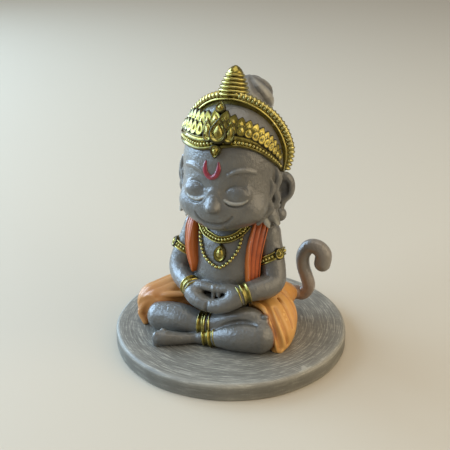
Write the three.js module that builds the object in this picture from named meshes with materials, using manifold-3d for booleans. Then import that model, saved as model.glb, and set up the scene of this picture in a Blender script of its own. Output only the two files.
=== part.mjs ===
// A small seated figure with a crown and a curled tail, on a plain round base. Millimetres, +Z up.
// The figure looks along -Y. The origin is the centre of the base's underside.
import * as THREE from 'three';
import { mergeVertices } from 'three/addons/utils/BufferGeometryUtils.js';
import Module from 'manifold-3d';

const wasm = await Module();
wasm.setup();

// Base: a flat disc with a rounded upper rim and a small bevel round its foot
const baseRadius = 40;
const baseHeight = 6;
const rimRounding = 1;
const footBevel = 0.5;

// Figure: its pose and proportions are shares of its own height above the base.
// The lengths further down are those of the figure as it is drawn, measured from its seat.
const figureHeight = 89.2;

// Corners this close together are one corner: of a shape as it is drawn, and of the finished solid
const sameCorner = 1e-5;
const mergedCorners = 0.03;

// Head and crown: the crown's heights, like every place on the head, are measured from the skull's centre
const skullCentre = [0, 1.5, 58.7];
const skull = [16.9, 17.2, 20.4];
const crownFlare = [17.8, 17.4, 26];
const crownEnds = 81;
const crownEndHeight = -0.9;
const crownBrowHeight = 8.7;
const crownTopHeight = 18.3;
const crownBrowArch = 1.3;
const crownPeak = 1.5;
const medallionHeight = 14;
const medallionDropHeight = 8;
const crownPlate = 1.9;
const crownLeafCount = 13;
const crownRoll = 0.45;
const crownLeafRelief = 0.8;
const crownLeafFoot = 0.4;
const archHeight = 3;
const archWidth = 4.2;
const archTeeth = 18;
const archEnds = 96;
const spireRadius = 5.25;
const spireHeight = 9.8;
const spireRings = 6;
const spireLean = 12;
const spireSeat = 2.5;
const spireStandsOff = 0.514;
const knotCentre = [0, 15.5, 16.6];
const knotRadii = [8.2, 8.2, 7.7];
const neckUnderSkull = 20.2;

// The figure as it is drawn is as tall as its head and spire reach, and is made figureHeight tall.
const spireFootHeight = skullCentre[2] + skull[2] + spireStandsOff;
const drawnHeight = spireFootHeight + spireHeight * Math.cos((spireLean * Math.PI) / 180);
const share = figureHeight / drawnHeight;

// Jewellery
const bandStandsProud = 0.6;
const bandFacets = 8;
const armletWidth = 3;
const braceletWidth = 2.2;
const ankletWidth = 2.6;
const necklaceBead = 0.85;
const necklaceBeads = 15;

// Cloth
const sashWidth = 4.2;
const sashDepth = 4.4;
const sashCrown = 0.35;
const foldDepth = 0.45;

// Limbs: the points that each one runs through, and half its width and height there.
// The figure's right side is at -X. Its two arms differ a little.
const arms = [
  {
    arm: [[-12.6, 0.8, 34.2], [-13.6, 0.2, 31.2], [-14.9, -0.6, 27.8], [-16.6, -1.7, 23.4], [-17, -3, 19.9],
      [-15.4, -5.6, 17.9], [-12.6, -9, 17.4], [-9.2, -12.4, 17.3], [-7, -14.6, 16.8]],
    thumb: [[-8.6, -12.6, 18.4], [-5, -13.8, 19.6], [-0.6, -14.4, 19.6]],
    hand: [[-9.2, -12.6, 17.2], [-7.8, -14.8, 16.4], [-5.2, -16.6, 15.6], [-1.6, -17.4, 14.8], [1, -17.4, 14.8]],
  },
  {
    arm: [[12.6, 0.8, 35.2], [13.4, 0.2, 32], [14.6, -1, 28.2], [15.8, -2.4, 23.8], [16.2, -4, 20.6],
      [14.8, -7, 19.3], [12, -10.4, 19.2], [8.8, -13.2, 18.4], [6.6, -14.8, 17.6]],
    thumb: [[8.2, -13.2, 19.4], [4.6, -14, 20], [0.4, -14.4, 19.6]],
    hand: [[8.8, -13.2, 18.4], [7.4, -15.2, 17.4], [4.8, -17, 16], [1.6, -17.8, 15], [-0.6, -17.6, 15]],
  },
];
const armSizes = [[4.4, 4.4], [4.3, 4.3], [4.2, 4.2], [4.2, 4.2], [4.3, 4.3], [4.1, 4], [3.6, 3.5], [3, 2.9], [2.9, 2.9]];
const armletWay = 0.27;
const braceletWays = [0.855, 0.925];
const thumbSizes = [[2.2, 1.9], [1.9, 1.6], [1.6, 1.4]];
const handSizes = [[2.9, 2.9], [2.9, 3], [2.7, 2.7], [2.4, 2.4], [2, 2]];

const rightShin = [[-20, -13.7, 5], [-15, -14, 5.6], [-11.1, -14.4, 5.9], [-6.5, -14.8, 5.8], [-3.2, -14.9, 5.9],
  [-0.2, -14.9, 6.4]];
const rightShinSizes = [[5, 5.1], [5.1, 5.15], [4.8, 4.85], [3.9, 3.9], [3.5, 3.6], [3.1, 3.2]];
const rightFoot = [[-2, -14.9, 6.2], [2.4, -14.8, 7.6], [5.8, -14.4, 9.3], [8.6, -13.8, 10.3], [12, -13, 10.4],
  [15, -12.2, 9.6]];
const rightFootSizes = [[3.3, 3.3], [3.2, 3.3], [3.1, 3], [3.3, 2.8], [3.2, 2.3], [2.6, 1.7]];
const rightAnkletWays = [0.68, 0.87];
const toeCount = 4;
const leftShin = [[15.8, -14.5, 5.3], [9, -17, 4.9], [3.5, -17.4, 3.9], [-0.6, -17.6, 3], [-3.6, -18.3, 2.5]];
const leftShinSizes = [[6.3, 6.1], [5, 5], [3.9, 3.8], [2.4, 2.5], [1.9, 2]];
const leftAnkletWay = 0.84;
const leftFoot = [[-3, -18.2, 2.5], [-7.7, -19.9, 2.2], [-12.5, -22.2, 2.5], [-16.4, -24, 2.6]];
const leftFootSizes = [[1.8, 1.9], [1.9, 2], [2.4, 2.4], [2.4, 2.4]];
const tailRoute = [[13, 9, 8.6], [19.1, 13.4, 8], [22, 14, 8], [23.8, 14, 11.2], [22.9, 14, 14.6], [21.6, 14, 18.4],
  [21.4, 14, 22.6], [23.3, 14, 26], [26.3, 14, 26.3], [28.5, 14, 24], [28.3, 14, 20.6]];
const tailRadii = [3, 2.6, 2.4, 2.3, 2.3, 2.3, 2.4, 2.5, 2.6, 2.7, 2.6];

// Gives a point of the figure, from its drawn place, measured from the middle of the seat.
function at(x, y, z) {
  return new THREE.Vector3(x, y, z).multiplyScalar(share);
}

function radians(degrees) {
  return THREE.MathUtils.degToRad(degrees);
}

// Makes one corner of those that lie within reach of each other, and drops the triangles that
// have no width left.
function withoutSlivers(geometry, reach) {
  const merged = mergeVertices(geometry, reach);
  const corners = merged.index.array;
  const kept = [];
  for (let i = 0; i < corners.length; i += 3) {
    const [a, b, c] = [corners[i], corners[i + 1], corners[i + 2]];
    if (a !== b && b !== c && c !== a) kept.push(a, b, c);
  }
  return merged.setIndex(kept);
}

// Turns a closed geometry into a solid that can be joined and cut.
function solid(geometry, reach = sameCorner) {
  geometry.deleteAttribute('normal');
  geometry.deleteAttribute('uv');
  const clean = withoutSlivers(geometry, reach);
  return new wasm.Manifold(new wasm.Mesh({
    numProp: 3,
    vertProperties: Float32Array.from(clean.attributes.position.array),
    triVerts: Uint32Array.from(clean.index.array),
  }));
}

function join(solids) {
  return solids.reduce((whole, next) => whole.add(next));
}

// Turns a solid back into a geometry.
function geometryOf(body) {
  const mesh = body.getMesh();
  const geometry = new THREE.BufferGeometry();
  geometry.setAttribute('position', new THREE.BufferAttribute(mesh.vertProperties.slice(), 3));
  geometry.setIndex(Array.from(mesh.triVerts));
  return geometry;
}

// Moves every corner of a geometry to the place that spot gives for it.
function reshape(geometry, spot) {
  const corners = geometry.attributes.position;
  for (let i = 0; i < corners.count; i += 1) {
    const place = spot(corners.getX(i), corners.getY(i), corners.getZ(i));
    corners.setXYZ(i, place.x, place.y, place.z);
  }
  return geometry;
}

// A smooth line through drawn points, and the way that it runs and stands at a share of its length.
function lineThrough(points) {
  return new THREE.CatmullRomCurve3(points.map((point) => at(...point)));
}

function girthThrough(sizes) {
  return lineThrough(sizes.map(([wide, high]) => [wide, high, 0]));
}

function frameOn(line, way, up) {
  const ahead = line.getTangent(way);
  const aside = new THREE.Vector3().crossVectors(ahead, new THREE.Vector3(...up)).normalize();
  const above = new THREE.Vector3().crossVectors(aside, ahead);
  return { ahead, aside, above };
}

// A limb: a round-ended body along a smooth line. Each size is half the width and half the height
// of the section there. Relief stands out from it, by the share of the way and the angle round it.
function limb(points, sizes, { around = 8, rows = 5, up = [0, 0, 1], relief = null } = {}) {
  const line = lineThrough(points);
  const girth = girthThrough(sizes);
  const capRows = 2;
  const allRows = rows + 2 * capRows;
  return solid(reshape(new THREE.SphereGeometry(1, around, allRows), (x, y, z) => {
    const row = (Math.acos(THREE.MathUtils.clamp(y, -1, 1)) / Math.PI) * allRows;
    const way = THREE.MathUtils.clamp((row - capRows) / rows, 0, 1);
    const capped = Math.min(row / capRows, (allRows - row) / capRows, 1) * (Math.PI / 2);
    const { ahead, aside, above } = frameOn(line, way, up);
    const reach = Math.hypot(x, z) || 1;
    const size = girth.getPoint(way);
    const proud = relief ? relief(way, Math.atan2(-z, x)) * share : 0;
    const capReach = Math.cos(capped) * Math.min(size.x, size.y) * Math.sign(way - 0.5);
    return line.getPoint(way)
      .addScaledVector(aside, (x / reach) * (size.x + proud) * Math.sin(capped))
      .addScaledVector(above, (-z / reach) * (size.y + proud) * Math.sin(capped))
      .addScaledVector(ahead, capReach);
  }));
}

// A band round a limb that runs through the same points with the same sizes.
function bandOn(points, sizes, way, width, up = [0, 0, 1]) {
  const line = lineThrough(points);
  const size = girthThrough(sizes).getPoint(way).divideScalar(share);
  const half = width / 2;
  const ring = turned([[0, -half], [1, -half], [1, half], [0, half]], bandFacets);
  ring.scale(size.y + bandStandsProud, size.x + bandStandsProud, 1);
  const { ahead, aside, above } = frameOn(line, way, up);
  const { x, y, z } = line.getPoint(way);
  return solid(ring.applyMatrix4(new THREE.Matrix4().makeBasis(above, aside, ahead)).translate(x, y, z));
}

// A ball or an egg. Relief stands out along each direction from its centre.
function ball(centre, radii, { around = 10, rows = 6, turn = [0, 0, 0], relief = null } = {}) {
  const round = new THREE.SphereGeometry(1, around, rows).rotateX(Math.PI / 2);
  if (relief) {
    reshape(round, (x, y, z) => new THREE.Vector3(x, y, z).multiplyScalar(1 + relief(x, y, z)));
  }
  round.scale(radii[0] * share, radii[1] * share, radii[2] * share);
  round.applyMatrix4(new THREE.Matrix4().makeRotationFromEuler(new THREE.Euler(...turn.map(radians))));
  const middle = at(...centre);
  return solid(round.translate(middle.x, middle.y, middle.z));
}

// A plate on a surface: u runs along it, v across it and h from its back to its face.
function plate(alongSteps, acrossSteps, spot) {
  const block = new THREE.BoxGeometry(1, 1, 1, alongSteps, acrossSteps, 1);
  return solid(reshape(block, (x, y, z) => spot(x + 0.5, y + 0.5, z + 0.5)));
}

// A turned shape: its profile runs from foot to top, as distances from the axis and heights.
function turned(profile, segments) {
  const outline = profile.map(([radius, height]) => new THREE.Vector2(radius * share, height * share));
  return new THREE.LatheGeometry(outline, segments).rotateX(Math.PI / 2);
}

// A leaf or a drop that lies on a surface: long along its stem, pointed above, thin along its face.
function leaf(centre, face, stem, [wide, long, thick], around = 4, rows = 4) {
  const outward = new THREE.Vector3(...face).normalize();
  const aside = new THREE.Vector3(...stem).cross(outward).normalize();
  const upward = new THREE.Vector3().crossVectors(outward, aside);
  const middle = at(...centre);
  return solid(reshape(new THREE.SphereGeometry(1, around, rows), (x, y, z) => {
    const slim = y > 0 ? 1 - 0.45 * y : 1;
    return middle.clone()
      .addScaledVector(aside, x * wide * slim * share)
      .addScaledVector(upward, y * long * share)
      .addScaledVector(outward, z * thick * share);
  }));
}

// Gives a drawn place, from its place measured from the skull's centre.
function fromSkull(x, y, z) {
  const [cx, cy, cz] = skullCentre;
  return [cx + x, cy + y, cz + z];
}

// A point on an egg round the skull's centre, by its bearing from straight ahead and its height
// from that centre, lifted off the surface, with the way that the surface faces there.
function onEgg(egg, bearing, height, lift) {
  const slice = Math.sqrt(Math.max(1 - (height / egg[2]) ** 2, 0.01));
  const x = egg[0] * slice * Math.sin(radians(bearing));
  const y = -egg[1] * slice * Math.cos(radians(bearing));
  const face = new THREE.Vector3(x / egg[0] ** 2, y / egg[1] ** 2, height / egg[2] ** 2).normalize();
  return {
    place: fromSkull(x + face.x * lift, y + face.y * lift, height + face.z * lift),
    face: face.toArray(),
  };
}

// The crown's lower and upper edges sweep down to a point above each ear.
function crownSweep(bearing) {
  return Math.min(Math.abs(bearing) / crownEnds, 1) ** 2.6;
}

function crownLowerEdge(bearing) {
  const arched = crownBrowArch * Math.sin(Math.PI * Math.min((1.25 * Math.abs(bearing)) / crownEnds, 1));
  return crownEndHeight + (crownBrowHeight - crownEndHeight) * (1 - crownSweep(bearing)) + arched;
}

function crownUpperEdge(bearing) {
  const peak = crownPeak * Math.exp(-((bearing / 16) ** 2));
  const rise = (crownTopHeight - crownEndHeight) * (1 - crownSweep(bearing)) ** 0.6;
  return crownEndHeight + 0.6 + rise + peak;
}

// The crown's wall: a roll along its lower edge, and upright leaves whose tips make its upper edge.
function crown() {
  const steps = crownLeafCount * 2;
  const wall = plate(steps, 2, (u, v, h) => {
    const bearing = (u * 2 - 1) * crownEnds;
    const onLeaf = Math.round(u * steps) % 2 === 1;
    const [low, high] = [crownLowerEdge(bearing), crownUpperEdge(bearing) + (onLeaf ? 0.6 : -1)];
    const height = THREE.MathUtils.lerp(low, high, v === 0.5 ? crownLeafFoot : v);
    const relief = v === 0 ? crownRoll : v === 0.5 && onLeaf ? crownLeafRelief : 0;
    return at(...onEgg(crownFlare, bearing, height, h === 0 ? -crownPlate : relief).place);
  });
  const middle = onEgg(crownFlare, 0, medallionHeight, 0.1);
  const drop = onEgg(crownFlare, 0, medallionDropHeight, 0.1);
  return join([
    wall,
    leaf(middle.place, middle.face, [0, 0, 1], [3.1, 4.4, 1.4], 8, 4),
    leaf(middle.place, middle.face, [0, 0, 1], [1.7, 2.6, 2.3], 5, 4),
    leaf(drop.place, drop.face, [0, 0, -1], [1.5, 2.1, 1.1]),
  ]);
}

// The arch over the head behind the crown: a thin front rim and a toothed roll behind it.
function arch() {
  return plate(archTeeth * 2, 1, (u, v, h) => {
    const angle = (u * 2 - 1) * archEnds;
    const [swing, lie] = [Math.sin(radians(angle)), Math.cos(radians(angle))];
    const front = skullCentre[1] + 0.4 - 5.2 * Math.max(lie, 0) ** 3;
    const tooth = 0.22 * Math.cos(u * archTeeth * 2 * Math.PI);
    const end = THREE.MathUtils.smoothstep(archEnds - Math.abs(angle), -6, 22);
    const crest = (archHeight + 0.6 * swing ** 2) * end;
    const height = v === 0 ? crest * 0.8 : crest + tooth;
    const lift = h === 0 ? -1.2 : height;
    const x = (skull[0] + lift) * swing;
    const z = skullCentre[2] + (skull[2] + lift) * lie;
    return at(x, front + v * archWidth, z);
  });
}

// The ringed spire on top of the head, leaning back a little.
function spire() {
  const ringed = spireHeight * 0.75;
  const ringHeight = ringed / spireRings;
  const ringRadius = (ring) => spireRadius * (1 - 0.48 * (ring / spireRings) ** 1.6);
  const profile = [[0, -spireSeat], [spireRadius * 0.9, -spireSeat]];
  for (let ring = 0; ring < spireRings; ring += 1) {
    profile.push([ringRadius(ring) - 0.4, ring * ringHeight + 0.01], [ringRadius(ring), (ring + 0.5) * ringHeight]);
  }
  profile.push([ringRadius(spireRings) - 0.2, ringed], [spireRadius * 0.28, spireHeight * 0.9], [0, spireHeight]);
  const lean = turned(profile, 10).rotateX(-radians(spireLean));
  const foot = at(0, skullCentre[1] + 0.3, spireFootHeight);
  return solid(lean.translate(foot.x, foot.y, foot.z));
}

function head() {
  const parts = [
    ball(skullCentre, skull, { around: 16, rows: 9 }),
    ball(fromSkull(0, -6.5, -10.7), [15.8, 13, 10.5], { around: 14, rows: 6 }),
    ball(fromSkull(0, -13.9, -14.1), [9, 5.8, 4.8], { around: 8, rows: 6 }),
    ball(fromSkull(0, -19.4, -9.7), [1.9, 1.3, 1.3], { around: 6, rows: 4 }),
    hairKnot(),
  ];
  for (const side of [-1, 1]) parts.push(...faceSide(side), ...fur(side), ear(side));
  const smile = limb([[-5.4, -18.1, -13.1], [0, -19.9, -15.5], [5.4, -18.1, -13.1]].map((place) => fromSkull(...place)),
    [[0.5, 0.5], [0.6, 0.6], [0.5, 0.5]], { around: 4, rows: 3 });
  return join(parts).subtract(smile).add(browMark());
}

// A closed lid with a raised lash line under it, and a short brow above.
function faceSide(side) {
  const mirrored = (points) => points.map(([x, y, z]) => fromSkull(side * x, y, z));
  return [
    ball(fromSkull(side * 6.9, -15.2, -5.3), [3.9, 2.6, 3], { around: 8, rows: 4 }),
    limb(mirrored([[3.8, -17.9, -7.1], [7, -17.9, -7.9], [10.6, -15.5, -7.1]]), [[0.4, 0.4], [0.6, 0.6], [0.4, 0.4]],
      { around: 4, rows: 2 }),
    limb(mirrored([[4.8, -16.5, 1.7], [8, -15.4, 2.3], [11.2, -13.4, 1.7]]), [[0.6, 0.6], [0.8, 0.8], [0.5, 0.5]],
      { around: 4, rows: 2 }),
  ];
}

// The raised U on the forehead.
function browMark() {
  const foot = onEgg(skull, -1.4, -0.2, 0.2).place;
  const bends = [-8, 5.6].map((bearing) => onEgg(skull, bearing, 1.7, 0.2).place);
  const tips = [-10.4, 7.6].map((bearing) => onEgg(skull, bearing, 5.4, 0.2).place);
  return limb([tips[0], bends[0], foot, bends[1], tips[1]], [[0.5, 0.6], [0.7, 0.75], [0.7, 0.75], [0.7, 0.75], [0.5, 0.6]],
    { around: 4, rows: 6, up: [0, -1, 0.2] });
}

// Locks of fur in front of the ear and down to the jaw.
function fur(side) {
  return [
    leaf(fromSkull(side * 14.4, -6.1, -13.7), [side, -0.5, -0.2], [side * 0.3, -0.1, -1], [2.4, 4.4, 2.6], 5, 4),
    leaf(fromSkull(side * 12.4, -6.5, -17.7), [side, -0.6, -0.4], [side * 0.2, 0, -1], [2.6, 4.4, 3], 5, 4),
  ];
}

// A round ear with a hollow front, its lobe, and the round drop that hangs from it.
function ear(side) {
  const facing = [0, 0, side * 26];
  const shell = ball(fromSkull(side * 17, 0.5, -7.1), [3.7, 2.1, 5.2], { around: 8, rows: 6, turn: facing });
  const hollow = ball(fromSkull(side * 17.6, -1.6, -6.8), [2.3, 1.6, 3.5], { around: 6, rows: 4, turn: facing });
  const lobe = ball(fromSkull(side * 16.3, -0.2, -12.7), [1.5, 1.5, 2.8], { around: 5, rows: 4 });
  const drop = ball(fromSkull(side * 16.1, -0.9, -15.8), [2.3, 2.3, 2.3], { around: 7, rows: 5 });
  return join([shell.subtract(hollow), lobe, drop]);
}

// The knot of hair behind the spire, its strands wound round it.
function hairKnot() {
  const wound = (x, y, z) => 0.035 * Math.cos(4 * Math.atan2(y, x) + 4 * z);
  return join([
    ball(fromSkull(...knotCentre), knotRadii, { around: 12, rows: 6, relief: wound }),
    limb([fromSkull(-6, 10.5, 9.8), fromSkull(0, 15, 8.9), fromSkull(6, 10.5, 9.8)], [[2.6, 2.2], [3, 2.6], [2.6, 2.2]],
      { around: 6, rows: 2 }),
  ]);
}

// The trunk, with a round belly in front, up to the shoulders and the neck.
function torso() {
  const neck = [0, 0, skullCentre[2] - neckUnderSkull];
  return limb([[0, 0.5, 11], [0, -1.6, 18.5], [0, -1.2, 25], [0, -0.2, 30.5], [0, 0.8, 35], neck],
    [[11.5, 10], [12, 10.9], [12, 10.2], [13, 9.2], [14.6, 6.8], [8, 6]], { around: 12, rows: 7, up: [0, 1, 0] });
}

// An arm with the armlet and the pair of bracelets on it.
function armOf({ arm }) {
  const side = Math.sign(arm[0][0]);
  const outward = [1, 0, 0];
  const plaque = lineThrough(arm).getPoint(armletWay).divideScalar(share);
  return [
    limb(arm, armSizes, { around: 8, rows: 9, up: outward }),
    bandOn(arm, armSizes, armletWay, armletWidth, outward),
    leaf([plaque.x + side * 0.6, plaque.y - 4.7, plaque.z], [side * 0.25, -1, 0.1], [0, 0, 1], [2.2, 2.6, 1.1]),
    ...braceletWays.map((way) => bandOn(arm, armSizes, way, braceletWidth, outward)),
  ];
}

// The hands lie in the lap and close in a ring: palms and fingers in front, thumbs behind.
function hands() {
  const parts = arms.flatMap(({ hand, thumb }) => [
    limb(hand, handSizes, { around: 7, rows: 4 }),
    limb(thumb, thumbSizes, { around: 6, rows: 2 }),
  ]);
  const palms = limb([[-7, -13.4, 15.4], [0, -13.8, 14.4], [7, -13.6, 15.8]], [[2.6, 2], [2.6, 2], [2.6, 2]],
    { around: 6, rows: 1 });
  return join([...parts, palms]);
}

// Loin cloth: hips and thighs in folded cloth, open at each knee, with a rolled hem there.
function loinCloth() {
  const hipFolds = (x, y, z) => 0.02 * Math.cos(9 * Math.atan2(y, x)) * (1 - z * z);
  const lengthwise = (way, angle) => foldDepth * Math.cos(6 * angle + 2.4 * way) * Math.sin(Math.PI * way) ** 0.5;
  const thigh = limb([[8, 4, 7.5], [14, -1, 6.6], [15.2, -7, 4.6], [13.9, -11.5, 3.2]],
    [[9, 8.4], [10, 8.6], [10.8, 9.6], [11, 10]], { around: 12, rows: 5 });
  const opening = new THREE.Vector3(0.58, 0.815, 0).normalize();
  return join([
    ball([0, 5, 7.5], [18.4, 10.6, 11], { around: 14, rows: 5, relief: hipFolds }),
    limb([[-8, 4, 7.4], [-17, -1, 7.8], [-24, -7, 6.2]], [[8.5, 8], [8.2, 7.6], [7.6, 7]],
      { around: 16, rows: 4, relief: lengthwise }),
    thigh.trimByPlane(opening.toArray(), opening.dot(at(19.2, -14.8, 8.9))),
    limb([[-13.6, -9.2, 12.4], [-20.6, -10.4, 11], [-26.2, -11, 8], [-28.6, -11.8, 4], [-26.6, -13, 0.8]],
      [[1.1, 1], [1.6, 1.4], [1.8, 1.5], [1.7, 1.3], [1.2, 1]], { around: 5, rows: 6 }),
    limb([[10, -8.6, 12.8], [12.6, -10.2, 13.2], [15.2, -11.6, 12.9], [17.4, -13.2, 11.2], [19.2, -14.8, 8.9],
      [20.9, -16.2, 6], [22.2, -17, 3], [22.8, -17.2, 0.6]], [[0.9, 0.9], [0.9, 0.9]], { around: 5, rows: 7 }),
  ]);
}

// The crossed legs: the right shin lies in front, and the left foot comes out under it.
function legs() {
  return join([
    limb(rightShin, rightShinSizes, { around: 10, rows: 5 }),
    limb(rightFoot, rightFootSizes, { around: 8, rows: 4 }),
    limb(leftShin, leftShinSizes, { around: 10, rows: 4 }),
    limb(leftFoot, leftFootSizes, { around: 7, rows: 3 }),
    ...toes(),
    ...rightAnkletWays.map((way) => bandOn(rightShin, rightShinSizes, way, ankletWidth)),
    bandOn(leftShin, leftShinSizes, leftAnkletWay, 2 * ankletWidth),
  ]);
}

// A row of toes on the upper foot, and the great toe of the lower one.
function toes() {
  const rounded = (way) => -0.3 * Math.cos(way * toeCount * 2 * Math.PI);
  return [
    limb([[16.2, -14.4, 9.2], [16.6, -10, 9]], [[1.2, 1.1], [0.9, 0.8]],
      { around: 4, rows: toeCount * 2, relief: rounded }),
    ball([-16.9, -24.5, 2.7], [1.6, 1.6, 2.5], { around: 6, rows: 4 }),
  ];
}

function tail() {
  return limb(tailRoute, tailRadii.map((radius) => [radius, radius]), { around: 7, rows: 15, up: [0, 1, 0] });
}

// A strip of the sash hangs over each shoulder, and a loop of it crosses the back.
function sash() {
  const strip = (side, ...points) => {
    const way = lineThrough([[side * 10.6, 3.6, 37.8], ...points]);
    return plate(6, 2, (u, v, h) => {
      const aside = new THREE.Vector3(1, -0.15 * side, 0).normalize();
      const outward = new THREE.Vector3().crossVectors(way.getTangent(u), aside).normalize();
      const rise = v === 0.5 ? sashCrown : 0;
      return way.getPoint(u)
        .addScaledVector(aside, (v - 0.5) * sashWidth * share)
        .addScaledVector(outward, (h === 0 ? -sashDepth : rise) * share);
    });
  };
  const loop = limb([[-11.6, 3, 37], [-8, 8.6, 33.6], [0, 10.8, 31], [8, 8.6, 33.6], [11.6, 3, 37]],
    [[1, 1.8], [1.1, 2.1], [1.1, 2.2], [1.1, 2.1], [1, 1.8]], { around: 5, rows: 5 });
  return [
    strip(-1, [-11.2, -0.8, 40.2], [-12.2, -4, 37.4], [-12.2, -6.3, 32], [-11.1, -8, 26], [-9.6, -8.6, 20.5]),
    strip(1, [10.9, -0.8, 40.4], [11.5, -3.8, 38.2], [11, -7, 32], [10.7, -8.6, 26], [10.6, -8.7, 20.5]),
    loop,
  ];
}

function necklaces() {
  const collar = limb([[-8.6, -5, 37.4], [-5, -8.8, 35.6], [0, -9.9, 34.8], [5, -8.8, 35.6], [8.6, -5, 37.4]],
    [[0.8, 1.1], [1, 1.4], [1.1, 1.5], [1, 1.4], [0.8, 1.1]], { around: 5, rows: 6 });
  const size = [necklaceBead, necklaceBead];
  const beaded = (way) => -0.35 * Math.cos(way * necklaceBeads * 2 * Math.PI);
  const string = limb([[-8.4, -6.4, 36.4], [-6.8, -8.4, 31.4], [-3.6, -10.6, 27.2], [0, -11.3, 25.8],
    [3.6, -10.6, 27.2], [6.8, -8.4, 31.4], [8.4, -6.4, 36.4]], [size, size],
  { around: 4, rows: necklaceBeads * 2, up: [0, -1, 0], relief: beaded });
  return [collar, string, leaf([0, -9.3, 30.2], [0, -1, 0.2], [0, 0, 1], [2.2, 3.3, 1.9], 6, 4)];
}

// The whole figure is one casting, cut off flat where it sits on the base.
function figure() {
  const parts = [
    head(), crown(), arch(), spire(), torso(), ...arms.flatMap(armOf), hands(), loinCloth(), legs(), tail(),
    ...sash(), ...necklaces(),
  ];
  const below = 40 * share;
  const floor = new THREE.BoxGeometry(4 * below, 4 * below, below).translate(0, 0, -below / 2);
  const whole = geometryOf(join(parts).subtract(solid(floor)));
  return geometryOf(solid(whole, mergedCorners * share));
}

function base() {
  const top = baseHeight;
  const outline = [
    [0, 0], [baseRadius - footBevel, 0], [baseRadius, footBevel], [baseRadius, top - rimRounding],
    [baseRadius - rimRounding, top], [0, top],
  ].map(([radius, height]) => new THREE.Vector2(radius, height));
  return geometryOf(solid(new THREE.LatheGeometry(outline, 36).rotateX(Math.PI / 2)));
}

const greyResin = new THREE.MeshStandardMaterial({ color: '#7b7972', roughness: 0.28, metalness: 0 });

const group = new THREE.Group();
const seatedFigure = new THREE.Mesh(figure(), greyResin);
seatedFigure.name = 'seated_figure';
seatedFigure.position.z = baseHeight;
const roundBase = new THREE.Mesh(base(), greyResin);
roundBase.name = 'round_base';
group.add(roundBase, seatedFigure);

export default group;
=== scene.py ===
"""A small painted resin figure of a seated monkey deity on a round base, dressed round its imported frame."""

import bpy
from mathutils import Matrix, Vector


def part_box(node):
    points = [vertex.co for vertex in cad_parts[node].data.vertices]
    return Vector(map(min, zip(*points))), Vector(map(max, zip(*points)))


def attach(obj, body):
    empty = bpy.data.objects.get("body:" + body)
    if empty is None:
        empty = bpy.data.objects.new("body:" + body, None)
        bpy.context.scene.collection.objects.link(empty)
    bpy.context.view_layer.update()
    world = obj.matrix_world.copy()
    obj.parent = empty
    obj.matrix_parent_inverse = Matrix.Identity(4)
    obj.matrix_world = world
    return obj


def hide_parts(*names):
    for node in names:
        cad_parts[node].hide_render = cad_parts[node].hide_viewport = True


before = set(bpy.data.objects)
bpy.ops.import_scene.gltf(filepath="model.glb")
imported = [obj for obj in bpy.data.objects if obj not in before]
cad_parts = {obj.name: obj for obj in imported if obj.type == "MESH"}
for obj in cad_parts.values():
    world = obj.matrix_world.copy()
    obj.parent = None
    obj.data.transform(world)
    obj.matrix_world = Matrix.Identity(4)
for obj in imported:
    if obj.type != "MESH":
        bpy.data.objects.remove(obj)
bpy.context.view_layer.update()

import copy
import math

import bpy
import numpy as np
from mathutils import Matrix, Vector

# Round base
# A plain disc of the same grey resin as the figure, cast flat and rubbed down by hand with coarse paper.
# Its top keeps long curved scratches, its rim is pale as rubbed wear and as painted highlight, its side wall
# has painted shade, and the figure is glued to the middle of it.
base_low, base_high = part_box("round_base")
base_radius = base_high.x
base_top = base_high.z - base_low.z
millimetre = base_radius / 40
rim_rounding = 1.3 * millimetre
foot_rounding = 0.6 * millimetre
hand_wobble = 0.16 * millimetre
disc_segments = 180
sanded_grey = "#65625A"
scratch_pale = "#A5A193"
scratch_dark = "#47443D"
pale_rim_wear_and_highlight = "#B5B0A1"
side_shade_grey = "#4A473F"


def paint(hex_code):
    """An sRGB hex colour as linear light."""
    channels = [int(hex_code[i:i + 2], 16) / 255 for i in (1, 3, 5)]
    return [c / 12.92 if c <= 0.04045 else ((c + 0.055) / 1.055) ** 2.4 for c in channels] + [1.0]


def add_node(tree, kind, values=None, links=None, **settings):
    """Adds a node to a tree, with its settings, its sockets' values and the outputs linked to them."""
    node = tree.nodes.new(kind)
    for name, value in settings.items():
        setattr(node, name, value)
    for socket, value in (values or {}).items():
        node.inputs[socket].default_value = value
    for socket, source in (links or {}).items():
        tree.links.new(source, node.inputs[socket])
    return node


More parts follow.
